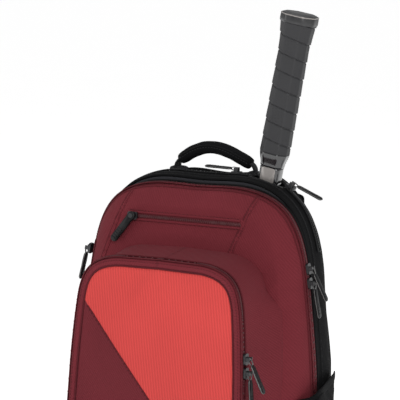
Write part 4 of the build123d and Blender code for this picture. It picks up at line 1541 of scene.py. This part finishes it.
for slider, pull in PULLS.items():
    dress(slider, M["gunmetal"], 0.0004)
    pin, axis, down, out = axes_of(pull)
    if pull == "welt_pull":
        face = np.array(JOINTS[pull + "_swing"]["axis"], float)
        face /= np.linalg.norm(face)
        across = np.cross(face, down)
        blade = stadium(0.0094, -0.0048, 0.0400, 0.0044)
        slab(
            "welt_pull_blade", pin, across, down, face, blade,
            ((0.0006, -0.0012), (0.0, -0.0006), (0.0, 0.0006), (0.0007, 0.0013)), M["rubber"], pull
        )
        stand_for("welt_pull")
        for k in range(5):
            at = pin + down * (0.022 + 0.0034 * k)
            rib = np.array([at - across * 0.0030, at, at + across * 0.0030]) + face * 0.0012
            part(
                sweep(f"welt_pull_rib_{k}", rib, np.tile(face, (3, 1)), oval(0.0014, 0.0012, 8), M["rubber"]),
                pull
            )
        continue
    # wire link round the pin, then a moulded tab with a bright rim
    t = np.linspace(0, 2 * np.pi, 28, endpoint=False)
    link = np.stack([0.0019 * np.cos(t), 0.0030 + 0.0044 * np.sin(t)], axis=1)
    ring_pts = pin + np.outer(link[:, 0], out) + np.outer(link[:, 1], down)
    part(
        sweep(pull + "_link", ring_pts, np.tile(axis, (28, 1)), oval(0.0010, 0.0030, 10), M["edge"], True),
        pull
    )
    shape = stadium(0.0088, 0.0068, 0.0418, 0.0032)
    taper = 0.80 + 0.20 * np.clip((shape[:, 1] - 0.0068) / 0.012, 0, 1)
    shape[:, 0] *= taper
    slab(
        pull + "_tab", pin, axis, down, out, shape,
        ((0.0008, -0.0013), (0.0002, -0.0009), (0.0002, 0.0009), (0.0008, 0.0013)), M["rubber"], pull
    )
    stand_for(pull)
    rim = pin + np.outer(shape[:, 0], axis) + np.outer(shape[:, 1], down)
    part(
        sweep(pull + "_rim", rim, np.tile(out, (len(rim), 1)), oval(0.0007, 0.0012, 8), M["edge"], True), pull
    )
    for k in range(4):
        at = pin + down * (0.0260 + 0.0036 * k)
        for side in (-1, 1):
            rib = np.array([at - axis * 0.0028, at, at + axis * 0.0028]) + out * side * 0.0012
            part(
                sweep(
                    f"{pull}_rib_{k}_{'a' if side < 0 else 'b'}", rib, np.tile(out, (3, 1)),
                    oval(0.0013, 0.0010, 8), M["rubber"]
                ),
                pull
            )

# ------------------------------------------------------------------ racket
FOOT = np.array([-0.0169, 0.079, 0.029])
ALONG = np.array([0.187, -0.040, 1.0])
ALONG /= np.linalg.norm(ALONG)
WIDE = np.array([1, 0, -0.187])
WIDE /= np.linalg.norm(WIDE)
FACE = np.cross(WIDE, ALONG)
RACKET_L, HEAD_W, HEAD_L, HOOP_W, HOOP_T = 0.685, 0.240, 0.338, 0.011, 0.022
GRIP_L, BUTT_L, GRIP_W, GRIP_D = 0.158, 0.012, 0.036, 0.030
GRIP_START = RACKET_L - BUTT_L - GRIP_L
COLLAR_L = 0.018


def on_racket(x, y, z=0.0):
    """Points in the racket's own width, length and thickness."""
    return FOOT + np.outer(np.atleast_1d(x), WIDE) + np.outer(np.atleast_1d(y), ALONG) + np.outer(
        np.atleast_1d(z) * np.ones(np.atleast_1d(x).shape), FACE
    )


def lacquer():
    """Glossy carbon-black lacquer with fine scratches and a faint weave below the coat."""
    t = Tree("racket_lacquer")
    weave = t.node("ShaderNodeTexWave", Scale=420.0, Distortion=1.5)
    t.nt.links.new(t.coords(), weave.inputs["Vector"])
    col = t.mix(
        t.math("MULTIPLY", weave.outputs["Fac"], 0.5), (0.008, 0.008, 0.009, 1), (0.020, 0.020, 0.022, 1)
    )
    scratch = t.ramp(t.noise(240.0, 6.0, rough=0.8), 0.55, 0.75)
    t.bump(t.noise(30.0), 0.0002, 0.15)
    return t.finish(
        col, t.math("ADD", t.math("MULTIPLY", scratch, 0.15), 0.16), Coat_Weight=0.8, Coat_Roughness=0.06
    )


def silver():
    """Satin silver-beige paint on the shaft's flat face."""
    t = Tree("satin_silver")
    flake = t.noise(1800.0, 1.0)
    cloud = t.noise(45.0, 4.0)
    col = t.mix(
        t.math("ADD", t.math("MULTIPLY", flake, 0.4), t.math("MULTIPLY", cloud, 0.5)),
        (0.19, 0.175, 0.165, 1), (0.33, 0.305, 0.29, 1)
    )
    t.bump(flake, 0.00005, 0.4)
    return t.finish(col, t.math("ADD", t.math("MULTIPLY", cloud, 0.2), 0.28), Metallic=0.35, Coat_Weight=0.4)


def grip_tape():
    """Charcoal tacky grip tape with small punched holes and worn edges."""
    t = Tree("grip_tape")
    out = t.uv()
    dots = t.node("ShaderNodeTexVoronoi", Scale=260.0, Randomness=0.0)
    t.nt.links.new(t.coords(), dots.inputs["Vector"])
    hole = t.ramp(dots.outputs["Distance"], 0.12, 0.22)
    wear = t.noise(70.0, 5.0, rough=0.7)
    shade = t.math("ADD", t.math("MULTIPLY", hole, 0.5), t.math("MULTIPLY", wear, 0.6))
    col = t.mix(shade, (0.005, 0.005, 0.006, 1), (0.020, 0.020, 0.022, 1))
    t.bump(hole, 0.0003, 0.5, t.bump(t.noise(300.0, 3.0), 0.0002, 0.5))
    return t.finish(col, t.math("ADD", t.math("MULTIPLY", wear, 0.25), 0.42), Specular_IOR_Level=0.4)


def string_gut():
    """Waxed cream string with worn spots."""
    t = Tree("string_gut")
    wear = t.noise(500.0, 3.0)
    col = t.mix(wear, (0.42, 0.40, 0.34, 1), (0.70, 0.68, 0.60, 1))
    t.bump(t.noise(2500.0), 0.0001, 0.4)
    return t.finish(col, 0.35, Transmission_Weight=0.15, Coat_Weight=0.2)


LACQUER, SILVER, GRIP_TAPE, GUT = lacquer(), silver(), grip_tape(), string_gut()
turn = np.linspace(0, 2 * np.pi, 160, endpoint=False)
hoop = on_racket((HEAD_W - HOOP_W) / 2 * np.cos(turn), HEAD_L / 2 + (HEAD_L - HOOP_W) / 2 * np.sin(turn))
hoop_obj = sweep(
    "racket_hoop", hoop, np.tile(FACE, (160, 1)), oval(HOOP_W * 0.98, HOOP_T * 0.98, 24, 2.7), LACQUER, True
)
part(hoop_obj, "racket", ["racket_frame"])
inner = on_racket(
    ((HEAD_W - HOOP_W) / 2 - 0.0052) * np.cos(turn),
    HEAD_L / 2 + ((HEAD_L - HOOP_W) / 2 - 0.0052) * np.sin(turn)
)
part(
    sweep("racket_grommets", inner, np.tile(FACE, (160, 1)), oval(0.0012, 0.0060, 10), M["plastic"], True),
    "racket"
)
for side in (-1, 1):
    bar = smooth_path(
        on_racket(np.array([0.0540, 0.0420, 0.0215, 0.0072]) * side, np.array([0.318, 0.352, 0.410, 0.455])),
        40
    )
    widths = np.stack(
        [np.interp(np.linspace(0, 1, 40), [0, 0.12, 1], [1.35, 1.0, 0.95]), np.ones(40)], axis=1
    )
    part(
        sweep(
            f"racket_throat_{'left' if side < 0 else 'right'}", bar, np.tile(FACE, (40, 1)),
            oval(0.0150, HOOP_T * 0.97, 22, 3.0), LACQUER, scale=widths
        ),
        "racket"
    )
shaft = on_racket(np.zeros(24), np.linspace(0.438, GRIP_START - COLLAR_L, 24))
part(sweep("racket_shaft", shaft, np.tile(FACE, (24, 1)), oval(0.0262, HOOP_T, 40, 4.2), LACQUER), "racket")
for side in (-1, 1):
    plate = stadium(0.0180, 0.4400, GRIP_START - COLLAR_L - 0.0004, 0.0030)
    rings = []
    for inset, z in ((0.0, HOOP_T / 2 - 0.0006), (0.0, HOOP_T / 2 + 0.0001), (0.0006, HOOP_T / 2 + 0.0004)):
        middle = plate.mean(0)
        d = plate - middle
        q = middle + d * (1 - inset / np.linalg.norm(d, axis=1))[:, None]
        rings.append(on_racket(q[:, 0], q[:, 1], side * z))
    plate_obj = recalc(
        loft(f"racket_plate_{'front' if side < 0 else 'rear'}", rings, SILVER, centre=rings[-1].mean(0))
    )
    part(plate_obj, "racket")


def octagon_ring(width, depth, count=64, soft=0.0016):
    """Octagonal section with softened corners, evenly resampled."""
    cut = 0.29 * depth
    w, d = width / 2, depth / 2
    corners = np.array(
        [
            (-w, -d + cut), (-w + cut, -d), (w - cut, -d), (w, -d + cut), (w, d - cut), (w - cut, d),
            (-w + cut, d), (-w, d - cut)
        ]
    )
    pts = resample(corners, 160, True)
    for _ in range(int(soft / 0.0004)):
        pts = (np.roll(pts, 1, 0) + 2 * pts + np.roll(pts, -1, 0)) / 4
    return resample(pts, count, True)


def grip_rings():
    """Octagonal grip with one helical overlap of tape: a fine groove beside a raised lip."""
    rings = []
    pitch = 0.0210
    angle = np.linspace(0, 1, 96, endpoint=False)
    for s in np.linspace(0, 1, 300):
        y = s * GRIP_L
        flare = max(0.0, (y - (GRIP_L - 0.034)) / 0.034) ** 1.6
        ring = octagon_ring(GRIP_W - 0.0016 + 0.0066 * flare, GRIP_D - 0.0016 + 0.0058 * flare, 96)
        phase = (y / pitch - angle) % 1.0
        groove = np.exp(-((np.minimum(phase, 1 - phase) / 0.035) ** 2))
        lift = 0.0007 * (1 - phase) * (phase > 0.02) - 0.0010 * groove
        ring = ring * (1 + lift[:, None] / np.linalg.norm(ring, axis=1)[:, None])
        rings.append(on_racket(ring[:, 0], np.full(96, GRIP_START + y), ring[:, 1]))
    return rings


grip_obj = loft("racket_grip_wrap", grip_rings(), GRIP_TAPE)
part(recalc(grip_obj), "racket", ["racket_grip"])
collar_rings = []
for k in np.linspace(0, 1, 14):
    eased = k * k * (3 - 2 * k)
    ring = octagon_ring(
        0.0284 + (GRIP_W - 0.0010 - 0.0284) * eased,
        HOOP_T + 0.0014 + (GRIP_D - 0.0010 - HOOP_T - 0.0014) * eased, 72
    )
    collar_rings.append(
        on_racket(
            ring[:, 0], np.full(72, GRIP_START - COLLAR_L + 0.0004 + (COLLAR_L - 0.0008) * k), ring[:, 1]
        )
    )
collar = recalc(loft("racket_collar_band", collar_rings, LACQUER))
modify(collar, "SOLIDIFY", thickness=0.0012, offset=-1)
part(collar, "racket", ["racket_collar"])
butt_rings = []
base = GRIP_START + GRIP_L
for y, extra in (
    (0.0003, 0.0066), (0.0010, 0.0078), (0.0040, 0.0080), (0.0090, 0.0076), (0.0108, 0.0060),
    (0.0117, 0.0030), (0.0119, -0.002)
):
    ring = octagon_ring(GRIP_W + extra, GRIP_D + extra - 0.001, 72)
    butt_rings.append(on_racket(ring[:, 0], np.full(72, base + y), ring[:, 1]))
butt = recalc(loft("racket_butt_cap", butt_rings, M["plastic"], centre=on_racket(0, base + 0.0119, 0)[0]))
part(butt, "racket", ["racket_butt"])
cap_rings = []
for y, extra in ((0.0112, -0.0045), (0.0121, -0.0050), (0.0123, -0.0070)):
    ring = octagon_ring(GRIP_W + extra, GRIP_D + extra - 0.001, 72)
    cap_rings.append(on_racket(ring[:, 0], np.full(72, base + y), ring[:, 1]))
part(
    recalc(loft("racket_end_disc", cap_rings, M["plastic"], centre=on_racket(0, base + 0.0123, 0)[0])),
    "racket"
)

ring = octagon_ring(GRIP_W + 0.0074, GRIP_D + 0.0064, 72)
rim = on_racket(ring[:, 0], np.full(72, base + 0.0100), ring[:, 1])
part(sweep("racket_butt_rim", rim, np.tile(ALONG, (72, 1)), oval(0.0008, 0.0014, 8), SILVER, True), "racket")

# strings, woven over and under one another
verts, faces = [], []
A_IN, B_IN = HEAD_W / 2 - HOOP_W + 0.0008, HEAD_L / 2 - HOOP_W + 0.0008
lines = []
for k in range(12):
    x = (k - 5.5) * 0.018
    half = B_IN * math.sqrt(1 - (x / A_IN) ** 2)
    v = np.linspace(-half, half, 120)
    lift = 0.0006 * np.sin(np.pi * v / 0.021 + np.pi / 2) * (1 if k % 2 else -1)
    lines.append(on_racket(np.full(120, x), HEAD_L / 2 + v, lift))
for k in range(15):
    y = (k - 7) * 0.021
    if abs(y) >= B_IN:
        continue
    half = A_IN * math.sqrt(1 - (y / B_IN) ** 2)
    v = np.linspace(-half, half, 120)
    lift = 0.0006 * np.sin(np.pi * v / 0.018) * (1 if k % 2 else -1)
    lines.append(on_racket(v, np.full(120, HEAD_L / 2 + y), lift))
for line in lines:
    p, t, u, s = frames(line, np.tile(FACE, (len(line), 1)))
    start = len(verts)
    ring = oval(0.0013, 0.0013, 6)
    for i in range(len(p)):
        verts += list(p[i] + np.outer(ring[:, 0], s[i]) + np.outer(ring[:, 1], u[i]))
    for i in range(len(p) - 1):
        for q in range(6):
            r = (q + 1) % 6
            faces.append(
                (start + i * 6 + q, start + i * 6 + r, start + (i + 1) * 6 + r, start + (i + 1) * 6 + q)
            )
strings_obj = new_object("racket_string_bed", verts, faces, [(0, 0)] * len(verts), GUT)
part(recalc(strings_obj), "racket", ["racket_strings"])

for side in ("left", "right"):
    dress(f"ladderlock_{side}", M["plastic"])

# ------------------------------------------------------------------ studio
def floor_material():
    """Pale studio floor."""
    t = Tree("studio_floor")
    soft = t.noise(3.0, 3.0)
    col = t.mix(soft, (0.86, 0.86, 0.86, 1), (0.90, 0.90, 0.90, 1))
    t.bump(t.noise(120.0), 0.0005, 0.05)
    return t.finish(col, 0.9, Emission_Color=(1, 1, 1, 1), Emission_Strength=0.62)


ground = new_object(
    "studio_ground", [(-60, -60, 0), (60, -60, 0), (60, 60, 0), (-60, 60, 0)], [(0, 1, 2, 3)], None,
    floor_material()
)
world = bpy.data.worlds.new("studio") if not bpy.data.worlds else bpy.data.worlds[0]
bpy.context.scene.world = world
world.use_nodes = True
shade = world.node_tree.nodes["Background"]
shade.inputs[0].default_value = (1, 1, 1, 1)
shade.inputs[1].default_value = 0.42
clear = world.node_tree.nodes.new("ShaderNodeBackground")
clear.inputs[0].default_value = (1, 1, 1, 1)
path = world.node_tree.nodes.new("ShaderNodeLightPath")
choose = world.node_tree.nodes.new("ShaderNodeMixShader")
links = world.node_tree.links
links.new(path.outputs["Is Camera Ray"], choose.inputs[0])
links.new(shade.outputs[0], choose.inputs[1])
links.new(clear.outputs[0], choose.inputs[2])
links.new(choose.outputs[0], world.node_tree.nodes["World Output"].inputs[0])


def area(name, location, aim, width, height, power, colour=(1, 1, 1)):
    """Rectangular light aimed at a point."""
    data = bpy.data.lights.new(name, "AREA")
    data.shape = "RECTANGLE"
    data.size, data.size_y, data.energy, data.color = width, height, power, colour
    obj = bpy.data.objects.new(name, data)
    bpy.context.scene.collection.objects.link(obj)
    obj.location = location
    obj.rotation_euler = (Vector(aim) - Vector(location)).to_track_quat("-Z", "Y").to_euler()
    return obj


area("key", (1.1, -1.5, 1.5), (0, 0, 0.35), 1.2, 1.2, 26)
area("fill", (-1.6, -1.2, 0.9), (0, 0, 0.35), 1.4, 1.4, 12)
area("top", (0.1, 0.2, 2.0), (0, 0, 0.4), 1.0, 1.0, 5)

scene = bpy.context.scene
scene.view_settings.view_transform = "Standard"
scene.view_settings.look = "None"

azimuth, elevation, roll = math.radians(25.0), math.radians(8.5), math.radians(0.9)
AIM, DISTANCE, LENS = Vector((0.0065, 0.0, 0.478)), 2.0, 150.5
back = Vector(
    (math.sin(azimuth) * math.cos(elevation), -math.cos(azimuth) * math.cos(elevation), math.sin(elevation))
)
right = (-back).cross(Vector((0, 0, 1))).normalized()
up = right.cross(-back)
cam_x = right * math.cos(roll) + up * math.sin(roll)
cam_y = up * math.cos(roll) - right * math.sin(roll)
data = bpy.data.cameras.new("camera")
data.sensor_width = 36
data.lens = LENS
cam = bpy.data.objects.new("camera", data)
scene.collection.objects.link(cam)
pose = Matrix((cam_x, cam_y, back)).transposed().to_4x4()
pose.translation = AIM + back * DISTANCE
cam.matrix_world = pose
scene.camera = cam
